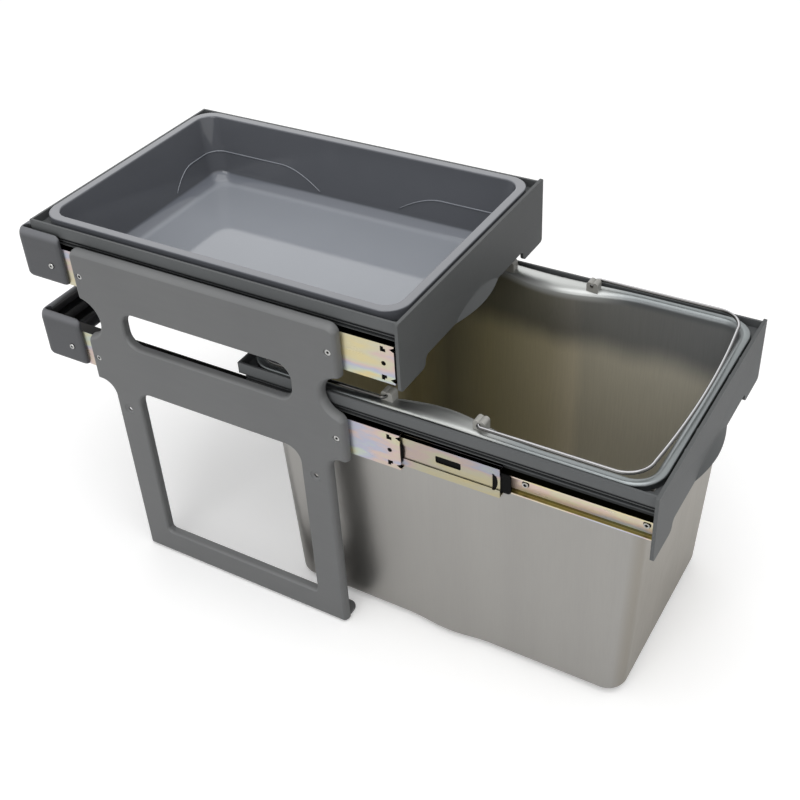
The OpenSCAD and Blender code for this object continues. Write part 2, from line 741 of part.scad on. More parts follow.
// The bin's rolled rim, which hangs on the drawer's ledge
module bin_rim() {
    z_rim = lip_z(lower);
    z_seat = z_rim - ledge_drop;
    hollow_x = bin_rim_x - bin_t;
    color([0.66, 0.64, 0.61]) place(lower) difference() {
        translate([0, 0, z_seat]) linear_extrude(ledge_drop)
            polygon(bowed_box(bin_rim_x, bin_y0, bin_y1, bin_corner_r));
        translate([0, 0, z_seat - eps]) linear_extrude(ledge_drop - bin_t + eps)
            polygon(bowed_box(hollow_x, bin_y0 + bin_t, bin_y1 - bin_t, bin_corner_r - bin_t));
        bin_wall(0, z_rim);
    }
}

module bin_wall(wall, z_top) {
    y0 = bin_y0 + bin_rim_w - bin_t + wall;
    y1 = bin_y1 - bin_rim_w + bin_t - wall;
    tub_form([bin_wall_x - wall, y0, y1],
        [bin_wall_x - bin_draft_x - wall, y0 + bin_draft_front, y1 - bin_draft_rear],
        z_top, bin_floor_z + wall, bin_corner_r - bin_rim_w - wall, bin_edge_r - wall);
}

// One half of the bag holder: a wire bow whose turned-in ends are its pivot pins
module bag_ring(pivot_y, bar_y) {
    r = wire_d / 2;
    way = sign(bar_y - pivot_y);
    z = lip_z(lower) + wire_rise;
    straight = abs(bar_y - pivot_y) - ring_corner_r - ring_bend_r;
    color([0.82, 0.82, 0.83]) place(lower) translate([0, pivot_y, z]) mirror([0, way < 0 ? 1 : 0, 0]) {
        for (side = [left, right]) on_side(side) {
            peg(wire_x - ring_bend_r - ring_pin_len, ring_pin_len, r, 0, 0);
            translate([wire_x - ring_bend_r, ring_bend_r, 0]) rotate([0, 0, -90])
                rotate_extrude(angle = 90) translate([ring_bend_r, 0]) circle(r = r);
            translate([wire_x, ring_bend_r, 0]) rotate([-90, 0, 0]) cylinder(h = straight, r = r);
            translate([wire_x - ring_corner_r, straight + ring_bend_r, 0])
                rotate_extrude(angle = 90) translate([ring_corner_r, 0]) circle(r = r);
        }
        peg(ring_corner_r - wire_x, 2 * (wire_x - ring_corner_r), r, straight + ring_bend_r + ring_corner_r, 0);
    }
}

// A clip that sits over the bin's rim and takes a ring's pivot pins
module ring_clips(pivot_y) {
    z_rim = lip_z(lower);
    z_pin = z_rim + wire_rise;
    inner = wire_x - ring_bend_r - ring_pin_len - clip_over;
    width = ring_pin_len + clip_over - pin_fit;
    leg_x = bin_wall_x - bin_t - clip_leg_gap - clip_leg_t;
    color([0.78, 0.78, 0.78]) place(lower) for (side = [left, right]) on_side(side) translate([0, pivot_y, 0]) {
        difference() {
            union() {
                peg(inner, width, clip_r, 0, z_pin);
                translate([inner, -clip_len / 2, z_rim]) cube([width, clip_len, wire_rise - clip_under_pin]);
                translate([leg_x, -clip_len / 2, z_rim - clip_leg_down])
                    cube([clip_leg_t, clip_len, clip_leg_down + eps]);
            }
            peg(inner - eps, width + 2 * eps, wire_d / 2 + pin_fit, 0, z_pin);
        }
    }
}

for (level = [upper, lower]) {
    name = level == upper ? "upper" : "lower";
    rear_crossbar(level);
    outer_bumpers(level);
    middle_bumpers(level);
    outer_balls(level);
    inner_balls(level);
    drawer_frame(level);
    drawer_front(level);
    slide_screws(level);
    for (side = [left, right]) {
        full = str(name, side == left ? "_left" : "_right");
        slide_outer(level, side);
        slide_middle(level, side);
        slide_inner(level, side);
        outer_cage(level, side);
        inner_cage(level, side);
    }
}
side_plate(left);  // side_plate_left
side_plate(right);  // side_plate_right
side_plate_screws();
crossbar_screws();
tray();
bin();
bin_rim();
bag_ring(front_pivot_y, front_bar_y);  // bag_ring_front
bag_ring(rear_pivot_y, rear_bar_y);  // bag_ring_rear
ring_clips(front_pivot_y);  // ring_clips_front
ring_clips(rear_pivot_y);  // ring_clips_rear
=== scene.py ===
# Pull-out bin frame: pressed side plates, ball slides, moulded drawers, a tray and a steel bin.
# The CAD model is the fixed frame. Each section below dresses or rebuilds one piece or group of
# like pieces, in the order in which the unit is put together. Sizes are in millimetres.
import json
import math

import bmesh
import bpy
from mathutils import Euler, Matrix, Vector

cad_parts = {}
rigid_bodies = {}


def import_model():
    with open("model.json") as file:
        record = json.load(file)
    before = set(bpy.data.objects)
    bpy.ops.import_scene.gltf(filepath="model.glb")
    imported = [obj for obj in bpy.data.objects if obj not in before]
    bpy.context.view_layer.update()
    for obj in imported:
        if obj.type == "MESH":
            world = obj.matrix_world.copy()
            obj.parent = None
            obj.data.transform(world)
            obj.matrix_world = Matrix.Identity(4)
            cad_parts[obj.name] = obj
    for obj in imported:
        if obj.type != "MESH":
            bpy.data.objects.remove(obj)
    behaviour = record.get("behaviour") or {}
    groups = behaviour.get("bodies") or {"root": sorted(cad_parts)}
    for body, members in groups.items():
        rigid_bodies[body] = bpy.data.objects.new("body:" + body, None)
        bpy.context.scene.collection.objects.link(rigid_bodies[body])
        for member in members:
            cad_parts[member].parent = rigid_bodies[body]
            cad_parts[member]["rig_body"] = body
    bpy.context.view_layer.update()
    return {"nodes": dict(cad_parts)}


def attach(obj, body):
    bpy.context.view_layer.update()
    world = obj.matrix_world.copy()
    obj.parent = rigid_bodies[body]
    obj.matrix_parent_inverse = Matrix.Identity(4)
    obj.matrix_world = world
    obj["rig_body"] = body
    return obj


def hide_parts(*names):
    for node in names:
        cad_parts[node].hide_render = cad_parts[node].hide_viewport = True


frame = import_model()


# Studio: a pale seamless floor, a wide soft lamp overhead, one on the left, and a low panel
# behind on the right that the tray's glossy floor reflects. The camera stands to the left and
# in front, above the unit, as the photographer did.
class Wire:
    """One output of a node, on which sums can be written."""

    def __init__(self, graph, output):
        self.graph, self.output = graph, output

    def sum(self, operation, first, second):
        return self.graph.node("ShaderNodeMath", {"operation": operation}, {0: first, 1: second})

    def __add__(self, other):
        return self.sum("ADD", self, other)

    def __sub__(self, other):
        return self.sum("SUBTRACT", self, other)

    def __rsub__(self, other):
        return self.sum("SUBTRACT", other, self)

    def __mul__(self, other):
        return self.sum("MULTIPLY", self, other)

    __radd__, __rmul__ = __add__, __mul__


class Graph:
    """A node tree that is being built."""

    def __init__(self, tree):
        self.tree = tree
        tree.nodes.clear()

    def node(self, kind, settings=None, sockets=None, out=0):
        """Adds a node: its settings first, then the values or wires of its sockets."""
        made = self.tree.nodes.new(kind)
        for key, value in (settings or {}).items():
            if key == "stops":
                ramp = made.color_ramp.elements
                while len(ramp) < len(value):
                    ramp.new(0.5)
                for stop, (place, colour) in zip(ramp, value):
                    stop.position, stop.color = place, colour
            else:
                setattr(made, key, value)
        for key, value in (sockets or {}).items():
            for one in value if isinstance(value, list) else [value]:
                if isinstance(one, Wire):
                    self.tree.links.new(one.output, made.inputs[key])
                else:
                    made.inputs[key].default_value = one
        return Wire(self, made.outputs[out]) if made.outputs else None


def tinted(graph, share, first, second):
    return graph.node("ShaderNodeMix", {"data_type": "RGBA"}, {0: share, 6: first, 7: second}, out=2)


def area_lamp(name, place, aim, width, height, watts):
    data = bpy.data.lights.new(name, "AREA")
    data.shape, data.size, data.size_y, data.energy = "RECTANGLE", width, height, watts
    lamp = bpy.data.objects.new(name, data)
    lamp.location = place
    lamp.rotation_euler = (Vector(aim) - Vector(place)).to_track_quat("-Z", "Y").to_euler()
    bpy.context.scene.collection.objects.link(lamp)


def closed_mesh(name, build):
    """Makes a mesh object from a function that fills a bmesh, with its faces turned outwards."""
    bm = bmesh.new()
    build(bm)
    bmesh.ops.remove_doubles(bm, verts=bm.verts, dist=1e-6)
    bmesh.ops.recalc_face_normals(bm, faces=bm.faces)
    for face in bm.faces:
        face.smooth = True
    mesh = bpy.data.meshes.new(name)
    bm.to_mesh(mesh)
    bm.free()
    piece = bpy.data.objects.new(name, mesh)
    bpy.context.scene.collection.objects.link(piece)
    return piece


view = bpy.data.objects.new("camera", bpy.data.cameras.new("camera"))
view.data.lens, view.data.sensor_width = 54.62, 36
view.location = (-0.7352, -0.4697, 0.8313)
view.rotation_euler = Euler([math.radians(a) for a in (52.376, 2.843, -59.819)], "XYZ")
bpy.context.scene.collection.objects.link(view)
bpy.context.scene.camera = view
bpy.context.scene.view_settings.view_transform = "Standard"

area_lamp("lamp_overhead", (-0.5, -0.3, 2.7), (0, 0, 0.2), 2.4, 2.4, 33)
area_lamp("lamp_left", (-2.5, -0.1, 1.3), (0, 0, 0.2), 1.6, 1.4, 16)
area_lamp("lamp_behind", (1.75, 1.3, 1.5), (0, 0.1, 0.28), 1.9, 1.3, 5.5)

world = bpy.data.worlds.new("studio")
bpy.context.scene.world = world
world.use_nodes = True
air = Graph(world.node_tree)
ray = [air.node("ShaderNodeLightPath", out=name)
       for name in ("Is Camera Ray", "Is Glossy Ray", "Is Transmission Ray")]
seen = air.node("ShaderNodeMath", {"operation": "MAXIMUM"}, {0: ray[0] + ray[1], 1: ray[2]})
strength = air.node("ShaderNodeMath", {"operation": "MINIMUM"}, {0: seen * 0.45 + 0.55, 1: 1.0})
air.node("ShaderNodeOutputWorld", sockets={"Surface": air.node("ShaderNodeBackground", sockets={
    "Color": (1, 1, 1, 1), "Strength": strength})})

FLOOR_CORNERS, FLOOR_Z = ((-9, -9), (9, -9), (9, 9), (-9, 9)), -0.0005
floor = closed_mesh("floor", lambda bm: bm.faces.new(
    [bm.verts.new((x, y, FLOOR_Z)) for x, y in FLOOR_CORNERS]))
paper = bpy.data.materials.new("studio_paper")
paper.use_nodes = True
sheet = Graph(paper.node_tree)
spot = sheet.node("ShaderNodeTexCoord", out="Object")
tooth = sheet.node("ShaderNodeTexNoise", sockets={"Vector": spot, "Scale": 900.0})
seen = sheet.node("ShaderNodeLightPath", out="Is Camera Ray")
sheet.node("ShaderNodeOutputMaterial", sockets={"Surface": sheet.node("ShaderNodeBsdfPrincipled", sockets={
    "Base Color": (0.94, 0.94, 0.94, 1), "Roughness": 0.9, "Specular IOR Level": 0.1,
    "Emission Color": tinted(sheet, seen, (0, 0, 0, 1), (0.22, 0.22, 0.22, 1)), "Emission Strength": 1.0,
    "Normal": sheet.node("ShaderNodeBump", sockets={
        "Strength": 0.05, "Distance": 0.0005, "Height": tooth})})})
floor.data.materials.append(paper)


# Side plates: 2.5 mm steel sheet pressed into a shallow dish with a slot and a window, powder
# coated satin grey. Each has four countersunk holes for the slides' screws, two ringed holes in
# its legs for the cabinet's screws, and a foot turned in under each leg.
FRAME_HALF, SHEET_BACK, SHEET_T, MIDDLE_Y = 132.0, 124.0, 2.5, 183.5
LOBE_U, PLATE_TOP, NOTCH_Z, NOTCH_R = 132.5, 329.5, 261.5, 18.5
SLOT_Z, WINDOW_Z, WINDOW_U = (245, 279.4), (28.2, 195.6), 85.5
HIP_Z, CROOK_R, LEG_U = 196, 12, 114.5
SCREW_U, LEG_HOLE_U, LEG_HOLE_Z = 124.5, 100, 172.3
SLIDE_Z = {"upper": 304.7, "lower": 220.9}
CENTRE_Y = 83.8  # the unit's middle, behind the closed front plates

# Radii and depths of a countersunk hole and of a ringed one, from the front face to the back
SUNK_HOLE = ((3.5, 0), (3.2, 0.2), (3.1, 1.2), (2.1, 1.9), (2.1, SHEET_T))
RINGED_HOLE = ((5.6, 0), (5.3, 0.3), (5.3, 0.6), (2.25, 0.6), (2.25, SHEET_T))


def paint(red, green, blue):
    """A colour written as 0 to 255 on a screen, as Blender's linear numbers."""
    shares = [c / 255 for c in (red, green, blue)]
    return (*[((s + 0.055) / 1.055) ** 2.4 if s > 0.04 else s / 12.92 for s in shares], 1)


def scaled(tone, factor):
    """A colour made darker or lighter by a factor."""
    return tuple(c * factor for c in tone[:3]) + (1,)


def at(x, y, z):
    """A point in millimetres, with y counted from the closed front plates, in the unit's frame."""
    return Vector((x, y - CENTRE_Y, z)) / 1000


def arc(centre, r, start, end, steps=8):
    """Points along an arc between two angles in degrees."""
    turn = [math.radians(start + (end - start) * i / steps) for i in range(steps + 1)]
    return [(centre[0] + r * math.cos(a), centre[1] + r * math.sin(a)) for a in turn]


def rounded_box(low, high, r_low, r_high, steps=8):
    return (arc((high[0] - r_low, low[1] + r_low), r_low, -90, 0, steps)
            + arc((high[0] - r_high, high[1] - r_high), r_high, 0, 90, steps)
            + arc((low[0] + r_high, high[1] - r_high), r_high, 90, 180, steps)
            + arc((low[0] + r_low, low[1] + r_low), r_low, 180, 270, steps))


def plate_outline(inset):
    """The plate's outline, drawn in by an inset: lobes above and below a round notch, then the legs."""
    up, down = (math.sqrt((NOTCH_R + r) ** 2 - r * r) for r in (4, 8))
    turn_up, turn_down = math.degrees(math.atan2(up, 4)), math.degrees(math.atan2(down, 8))
    low, foot = max(3, inset), max(3, inset)
    notch = min(inset, 3.6)
    half = (arc((LOBE_U - 8, PLATE_TOP - 8), 8 - inset, 90, 0)
            + arc((LOBE_U - 4, NOTCH_Z + up), 4 - notch, 0, -turn_up)
            + arc((LOBE_U, NOTCH_Z), NOTCH_R + inset, 180 - turn_up, 180 + turn_down, 20)
            + arc((LOBE_U - 8, NOTCH_Z - down), 8 - inset, turn_down, 0)
            + arc((LOBE_U - low, HIP_Z + low), low - inset, 0, -90)
            + arc((LEG_U + CROOK_R, HIP_Z - CROOK_R), CROOK_R + inset, 90, 180)
            + arc((LEG_U - foot, foot), foot - inset, 0, -90))
    return half + [(-u, z) for u, z in reversed(half)]


def ring(bm, points, x):
    return [bm.verts.new(at(x, MIDDLE_Y + u, z)) for u, z in points]


def bridge(bm, first, second):
    for i in range(len(first)):
        j = (i + 1) % len(first)
        bm.faces.new((first[i], first[j], second[j], second[i]))


def loft(bm, rings, capped=True):
    """Joins rings in turn, and closes the two ends."""
    for first, second in zip(rings, rings[1:]):
        bridge(bm, first, second)
    for end in (rings[0], rings[-1]) if capped else ():
        bm.faces.new(end)


def fill(bm, *rings):
    """Fills a flat face that is bounded by its first ring and holed by the others."""
    edges = []
    for loop in rings:
        loop = [spot for i, spot in enumerate(loop) if (spot.co - loop[i - 1].co).length > 1e-7]
        for i in range(len(loop)):
            edges.append(bm.edges.get((loop[i - 1], loop[i])) or bm.edges.new((loop[i - 1], loop[i])))
    bmesh.ops.triangle_fill(bm, use_beauty=True, edges=edges)


def hole(bm, centre, side, radii_and_depths, front, back):
    """A round hole with its countersink or ring, from the front face to the back face."""
    rings = [ring(bm, arc(centre, r, 0, 360, 32)[:-1], side * (FRAME_HALF - depth))
             for r, depth in radii_and_depths]
    loft(bm, rings, capped=False)
    front.append(rings[0])
    back.append(rings[-1])


def pressed_plate(bm, side):
    """The dished sheet with its openings, holes and bosses, and a pad under each leg."""
    quarter = [math.pi / 2 * i / 8 for i in range(9)]
    contours = [(plate_outline, 4.2, 6.4),
                (lambda w: rounded_box((-WINDOW_U - w, SLOT_Z[0] - w), (WINDOW_U + w, SLOT_Z[1] + w),
                                       13 + w, 13 + w), 2.4, 3.4),
                (lambda w: rounded_box((-WINDOW_U - w, WINDOW_Z[0] - w), (WINDOW_U + w, WINDOW_Z[1] + w),
                                       4 + w, 14 + w), 2.4, 3.4)]
    inner = FRAME_HALF - SHEET_T
    front, back = [], []
    for outline, wide, deep in contours:
        sweep = [(wide * (1 - math.sin(a)), FRAME_HALF - deep * (1 - math.cos(a))) for a in quarter]
        sweep += [(0, SHEET_BACK + 0.3), (0.3, SHEET_BACK)]
        sweep += [(SHEET_T - 0.3, SHEET_BACK), (SHEET_T, SHEET_BACK + 0.3)]
        sweep += [(SHEET_T + wide * 0.5 * (1 - math.cos(a)), inner - deep * 0.5 * (1 - math.sin(a)))
                  for a in quarter]
        rings = [ring(bm, outline(inset), side * x) for inset, x in sweep]
        loft(bm, rings, capped=False)
        front.append(rings[0])
        back.append(rings[-1])
    for u in (-SCREW_U, SCREW_U):
        for z in SLIDE_Z.values():
            hole(bm, (u, z), side, SUNK_HOLE, front, back)
            boss = [ring(bm, arc((u, z), r, 0, 360, 32)[:-1], side * x)
                    for r, x in ((5.9, inner), (5.9, SHEET_BACK), (2.1, SHEET_BACK), (2.1, inner))]
            loft(bm, boss, capped=False)
    for u in (-LEG_HOLE_U, LEG_HOLE_U):
        hole(bm, (u, LEG_HOLE_Z), side, RINGED_HOLE, front, back)
    fill(bm, *front)
    fill(bm, *back)
    for end in (-1, 1):
        low, high = sorted((end * WINDOW_U, end * (LEG_U - 2)))
        pad = [[(FRAME_HALF - 3, low + s), (FRAME_HALF - 3, high - s)] + arc((115, high - 8), 8 - s, 90, 180)
               + arc((115, low + 8), 8 - s, 180, 270) for s in (0.8, 0.25, 0, 0, 0.25, 0.8)]
        rings = [[bm.verts.new(at(side * x, MIDDLE_Y + u, z)) for x, u in points]
                 for points, z in zip(pad, (0, 0.25, 0.8, 2.2, 2.75, 3))]
        loft(bm, rings)


def finish(name):
    """A new material and its node tree."""
    material = bpy.data.materials.new(name)
    material.use_nodes = True
    return material, Graph(material.node_tree)


def surface(graph, sockets):
    """Ends a material with one principled shader."""
    shader = graph.node("ShaderNodeBsdfPrincipled", sockets=sockets)
    graph.node("ShaderNodeOutputMaterial", sockets={"Surface": shader})


def noise(graph, scale, stretch=(1, 1, 1), detail=3.0):
    """Noise in the unit's own coordinates, finer along an axis whose stretch is greater."""
    spot = graph.node("ShaderNodeTexCoord", out="Object")
    spot = graph.node("ShaderNodeVectorMath", {"operation": "MULTIPLY"}, {0: spot, 1: stretch})
    return graph.node("ShaderNodeTexNoise", sockets={"Vector": spot, "Scale": scale, "Detail": detail})


def parts_of(graph, vector, axes):
    """The named parts of a vector, such as "XZ"."""
    return [graph.node("ShaderNodeSeparateXYZ", sockets={0: vector}, out=axis) for axis in axes]


def rise(graph, value, low, high, top=1.0, kind="LINEAR"):
    """0 where a value is at low, and top where it is at high."""
    return graph.node("ShaderNodeMapRange", {"interpolation_type": kind}, {
        "Value": value, "From Min": low, "From Max": high, "To Max": top})


def facing(graph, axis, low, high):
    """How far a surface's outward direction leans along an axis, from 0 to 1 between two shares of it."""
    way = parts_of(graph, graph.node("ShaderNodeNewGeometry", out="Normal"), axis)[0]
    return rise(graph, way, low, high, kind="SMOOTHSTEP")


def grained(graph, strength, distance, height):
    """A bumped normal."""
    return graph.node("ShaderNodeBump", sockets={
        "Strength": strength, "Distance": distance, "Height": height})


def peeled(name, dark, light, rough, peel, depth, shine=0.4, lift=1.0, painted_shade_zone=None):
    """A grey skin with a fine all-over texture: powder coat or spark-eroded moulding. Faces that look up
    are painted lighter by a lift, as painted light from above, and a zone may be painted darker as shade."""
    material, graph = finish(name)
    clouds = noise(graph, 14.0, detail=4.0)
    fine = noise(graph, peel, detail=2.0)
    scuffs = noise(graph, 260.0, (1, 0.12, 1), detail=5.0)
    skin = tinted(graph, clouds * 0.7 + scuffs * 0.3, dark, light)
    # Upward faces are painted lighter by the lift: painted light from above.
    lit = tinted(graph, clouds, scaled(dark, lift), scaled(light, lift))
    skin = tinted(graph, facing(graph, "Z", 0.03, 0.4), skin, lit)
    # A zone given here is painted darker: painted shade.
    if painted_shade_zone:
        skin = tinted(graph, painted_shade_zone(graph), skin, scaled(dark, 0.75))
    surface(graph, {
        "Base Color": skin,
        "Roughness": clouds * 0.1 + fine * 0.06 + (rough - 0.08),
        "Specular IOR Level": shine,
        "Normal": grained(graph, depth, 0.0002, fine)})
    return material


def ride(piece, body, material, slot, *stands_for):
    """Gives a piece its material and its body, and hides the CAD nodes that it stands for. Its slot is not
    used.
    """
    piece.data.materials.clear()
    piece.data.materials.append(material)
    smooth = piece.modifiers.new("even normals", "WEIGHTED_NORMAL")
    smooth.keep_sharp = True
    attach(piece, body)
    if stands_for:
        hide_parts(*stands_for)


# The plates' upward faces are painted lighter by the lift, as painted light from above.
powder_coat = peeled("powder_coat", paint(92, 93, 94), paint(104, 105, 105), 0.46, 1500.0, 0.12,
                     lift=1.3)
for side, name in ((-1, "left"), (1, "right")):
    plate = closed_mesh("pressed_plate_" + name, lambda bm: pressed_plate(bm, side))
    ride(plate, "root", powder_coat, "side_plate_steel", "side_plate_" + name)


# Rear crossbars: glass-filled nylon mouldings, charcoal with a dull fine texture. Each is a
# shallow ribbed channel behind the drawer, with an arm at each end round the slide's rear end,
# and a broad rounding along its top that runs out over the arms.
nodes = frame["nodes"]
BAR_HALF, BAR_BACK, BAR_FRONT, BAR_H, BAR_LOW, BAR_TURN = 128.0, 378.0, 329.5, 48.2, 18.2, 9.0


def bar_section(depth, top_w, top_h, share):
    """The bar's section as (inset, height) pairs. Its share runs from 0 at an arm's front end,
    where the section shrinks, to 1; the back's pocket fades out into the solid arms."""
    turn = [math.radians(a) for a in (0, 18, 36, 54, 72, 90)]
    outer = [(4.5 * (1 - math.sin(a)) * min(1, depth / 5), 4.5 * (1 - math.cos(a))) for a in turn]
    rim = [(top_w * (1 - math.cos(math.radians(a))), BAR_H - top_h * (1 - math.sin(math.radians(a))))
           for a in (0, 11, 22, 33, 44, 55, 66, 78, 90)]
    deep = max(0.0, (depth - 4) / 7)
    top_w = min(top_w, depth)
    pocket = [(11, BAR_H - 3), (6.5, BAR_H - 4), (3, BAR_H - 11), (2.5, 6), (4, 2.5), (11, 2.5)]
    pocket = [(depth + (x - 11) * deep, z) for x, z in pocket]
    section = outer + rim + [(depth, BAR_H)] + pocket + [(depth, 0)]
    low, high = 2 * (1 - share), BAR_H - 4.5 * (1 - share)
    return [(x, low + (high - low) * z / BAR_H) for x, z in section]


def rounded_bar(bm, z0):
    """The bar and its arms: its section carried from one arm's end round to the other's. Each
    station holds a spot, the way out, the depth, the top rounding's two radii, and the share."""
    turn = [math.radians(a) for a in range(0, 91, 9)]
    ends = [(1 - math.cos(math.radians(a)), math.sin(math.radians(a))) for a in (0, 22.5, 45, 67.5, 90)]
    half = [((BAR_HALF - 2.2 * (1 - swell), BAR_FRONT + 4.5 * front), (1, 0),
             1.8 + 2.2 * swell, 1.8 + 2.2 * swell, 9, swell) for front, swell in ends]
    half += [((BAR_HALF, y), (1, 0), 4, 4, 9, 1) for y in (342, 355)]
    half += [((BAR_HALF - BAR_TURN * (1 - math.cos(a)), BAR_BACK - BAR_TURN * (1 - math.sin(a))),
              (math.cos(a), math.sin(a)),
              4 + 7 * math.sin(a) ** 2, 4 + 4 * math.sin(a) ** 2, 9 + 2 * math.sin(a), 1) for a in turn]
    half += [((x, BAR_BACK), (0, 1), 11, 8, 11, 1) for x in (100, 70, 35, 0)]
    path = half + [((-x, y), (-nx, ny), *rest) for (x, y), (nx, ny), *rest in reversed(half[:-1])]
    rings = [[bm.verts.new(at(x - nx * inset, y - ny * inset, z0 + z))
              for inset, z in bar_section(depth, w, h, share)]
             for (x, y), (nx, ny), depth, w, h, share in path]
    loft(bm, rings)


def rib(bm, z):
    """A thin web that stiffens the channel, standing between its back wall and its open front."""
    outline = rounded_box((-117.5, BAR_BACK - 10.8), (117.5, BAR_BACK - 2.2), 0.5, 2.2, 3)
    loft(bm, [[bm.verts.new(at(x, y, z + lift)) for x, y in outline] for lift in (-0.9, 0.9)])


def eased(piece, width, segments, angle):
    """Rounds a piece's corners, where two faces meet at more than an angle in degrees."""
    ease = piece.modifiers.new("eased edges", "BEVEL")
    ease.width, ease.segments, ease.limit_method = width, segments, "ANGLE"
    ease.angle_limit = math.radians(angle)


def dressed(node, piece_name, edge, material, slot, segments=2):
    """Stands for a CAD node: the same solid, its corners eased as a mould or a press leaves them."""
    mesh = nodes[node].data.copy()
    bm = bmesh.new()
    bm.from_mesh(mesh)
    bmesh.ops.remove_doubles(bm, verts=bm.verts, dist=2e-6)
    bmesh.ops.dissolve_limit(bm, angle_limit=math.radians(0.5), verts=bm.verts, edges=bm.edges)
    for face in bm.faces:
        face.smooth = True
    bm.to_mesh(mesh)
    bm.free()
    mesh.materials.clear()
    piece = bpy.data.objects.new(piece_name, mesh)
    bpy.context.scene.collection.objects.link(piece)
    eased(piece, edge / 1000, segments, 35)
    ride(piece, nodes[node]["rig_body"], material, slot, node)


# The bars' upward faces are painted lighter by the lift, as painted light from above.
crossbar_grey = peeled("crossbar_moulding", paint(72, 73, 75), paint(84, 85, 88), 0.5, 2600.0, 0.2, 0.3,
                       lift=2.0)
# The ribs are a darker copy of the moulding: painted shade inside the channel.
crossbar_shaded_inside = peeled("crossbar_shaded_inside", paint(30, 31, 32), paint(40, 41, 42), 0.6, 2600.0, 0.2, 0.2)
for level, z in SLIDE_Z.items():
    node = "rear_crossbar_" + level
    bar = closed_mesh("crossbar_" + level, lambda bm: rounded_bar(bm, z - BAR_LOW))
    ride(bar, nodes[node]["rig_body"], crossbar_grey, "crossbar_plastic", node)
    for name, height in (("low", BAR_H / 3), ("high", BAR_H * 2 / 3)):
        web = closed_mesh("crossbar_rib_%s_%s" % (level, name), lambda bm: rib(bm, z - BAR_LOW + height))
        ride(web, nodes[node]["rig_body"], crossbar_shaded_inside, "crossbar_plastic")


# Fixing screws: zinc plated, with a cross recess. Countersunk ones hold the slides to the plates,
# pan heads hold the crossbars, and four to a side hold the inner members to the drawers. One
# geometry-nodes tree turns a head, its recess and its shank on every marked point.
SCREW_SIZES = ("Seat radius", "Top radius", "Head height", "Head base",
               "Recess width", "Recess depth", "Shank radius", "Shank length")


def screw_tree():
    tree = bpy.data.node_groups.new("screws", "GeometryNodeTree")
    tree.interface.new_socket("Geometry", in_out="OUTPUT", socket_type="NodeSocketGeometry")
    tree.interface.new_socket("Geometry", in_out="INPUT", socket_type="NodeSocketGeometry")
    for name in SCREW_SIZES:
        tree.interface.new_socket(name, in_out="INPUT", socket_type="NodeSocketFloat")
    tree.interface.new_socket("Finish", in_out="INPUT", socket_type="NodeSocketMaterial")
    graph = Graph(tree)
    given = {s.name: i for i, s in enumerate(s for s in tree.interface.items_tree if s.in_out == "INPUT")}
    source = tree.nodes.new("NodeGroupInput")
    value = {name: Wire(graph, source.outputs[i]) for name, i in given.items()}

    def moved(mesh, lift, turn=0.0):
        spot = graph.node("ShaderNodeCombineXYZ", sockets={"Z": lift})
        return graph.node("GeometryNodeTransform", sockets={
            "Geometry": mesh, "Translation": spot, "Rotation": (0, 0, turn)})

    head = moved(graph.node("GeometryNodeMeshCone", sockets={
        "Vertices": 32, "Radius Top": value["Top radius"], "Radius Bottom": value["Seat radius"],
        "Depth": value["Head height"]}), value["Head base"])
    top = value["Head base"] + value["Head height"]
    blade = graph.node("GeometryNodeMeshCube", sockets={"Size": graph.node("ShaderNodeCombineXYZ", sockets={
        "X": value["Recess width"], "Y": value["Recess width"] * 0.5, "Z": value["Recess depth"] * 2.0})})
    cut = graph.node("GeometryNodeMeshBoolean", {"operation": "DIFFERENCE"}, {
        "Mesh 1": head, "Mesh 2": [moved(blade, top), moved(blade, top, math.pi / 2)]})
    shank = moved(graph.node("GeometryNodeMeshCylinder", sockets={
        "Vertices": 20, "Radius": value["Shank radius"], "Depth": value["Shank length"]}),
        value["Head base"] + value["Shank length"] * -0.5)
    screw = graph.node("GeometryNodeJoinGeometry", sockets={"Geometry": [cut, shank]})
    place = graph.node("GeometryNodeInputPosition")
    across = parts_of(graph, place, "X")[0]
    outwards = graph.node("ShaderNodeCombineXYZ", sockets={"X": across})
    lean = graph.node("FunctionNodeAlignRotationToVector", {"axis": "Z"}, {"Vector": outwards})
    placed = graph.node("GeometryNodeInstanceOnPoints", sockets={
        "Points": value["Geometry"], "Instance": screw, "Rotation": lean})
    real = graph.node("GeometryNodeRealizeInstances", sockets={"Geometry": placed})
    done = graph.node("GeometryNodeSetMaterial", sockets={"Geometry": real, "Material": value["Finish"]})
    graph.node("NodeGroupOutput", sockets={"Geometry": done})
    return tree


def turned(name, points, body, slot, material, sizes, stands_for):
    """Turns a screw of the given sizes on each marked point, and keeps them as a plain mesh."""
    tree, given = screws, dict(zip(SCREW_SIZES, sizes))
    marks = bpy.data.meshes.new(name)
    marks.from_pydata(points, [], [])
    holder = bpy.data.objects.new(name + "_marks", marks)
    bpy.context.scene.collection.objects.link(holder)
    run = holder.modifiers.new("tree", "NODES")
    run.node_group = tree
    for socket in tree.interface.items_tree:
        if socket.in_out == "INPUT" and socket.name in given:
            run[socket.identifier] = given[socket.name] * 0.001
        elif socket.in_out == "INPUT" and socket.name == "Finish":
            run[socket.identifier] = material
    holder.data.update()
    bpy.context.view_layer.update()
    mesh = bpy.data.meshes.new_from_object(holder.evaluated_get(bpy.context.evaluated_depsgraph_get()))
    bpy.data.objects.remove(holder)
    piece = bpy.data.objects.new(name, mesh)
    bpy.context.scene.collection.objects.link(piece)
    ride(piece, body, material, slot, stands_for)


def size_of(graph, value):
    """A value without its sign."""
    return graph.node("ShaderNodeMath", {"operation": "ABSOLUTE"}, {0: value})


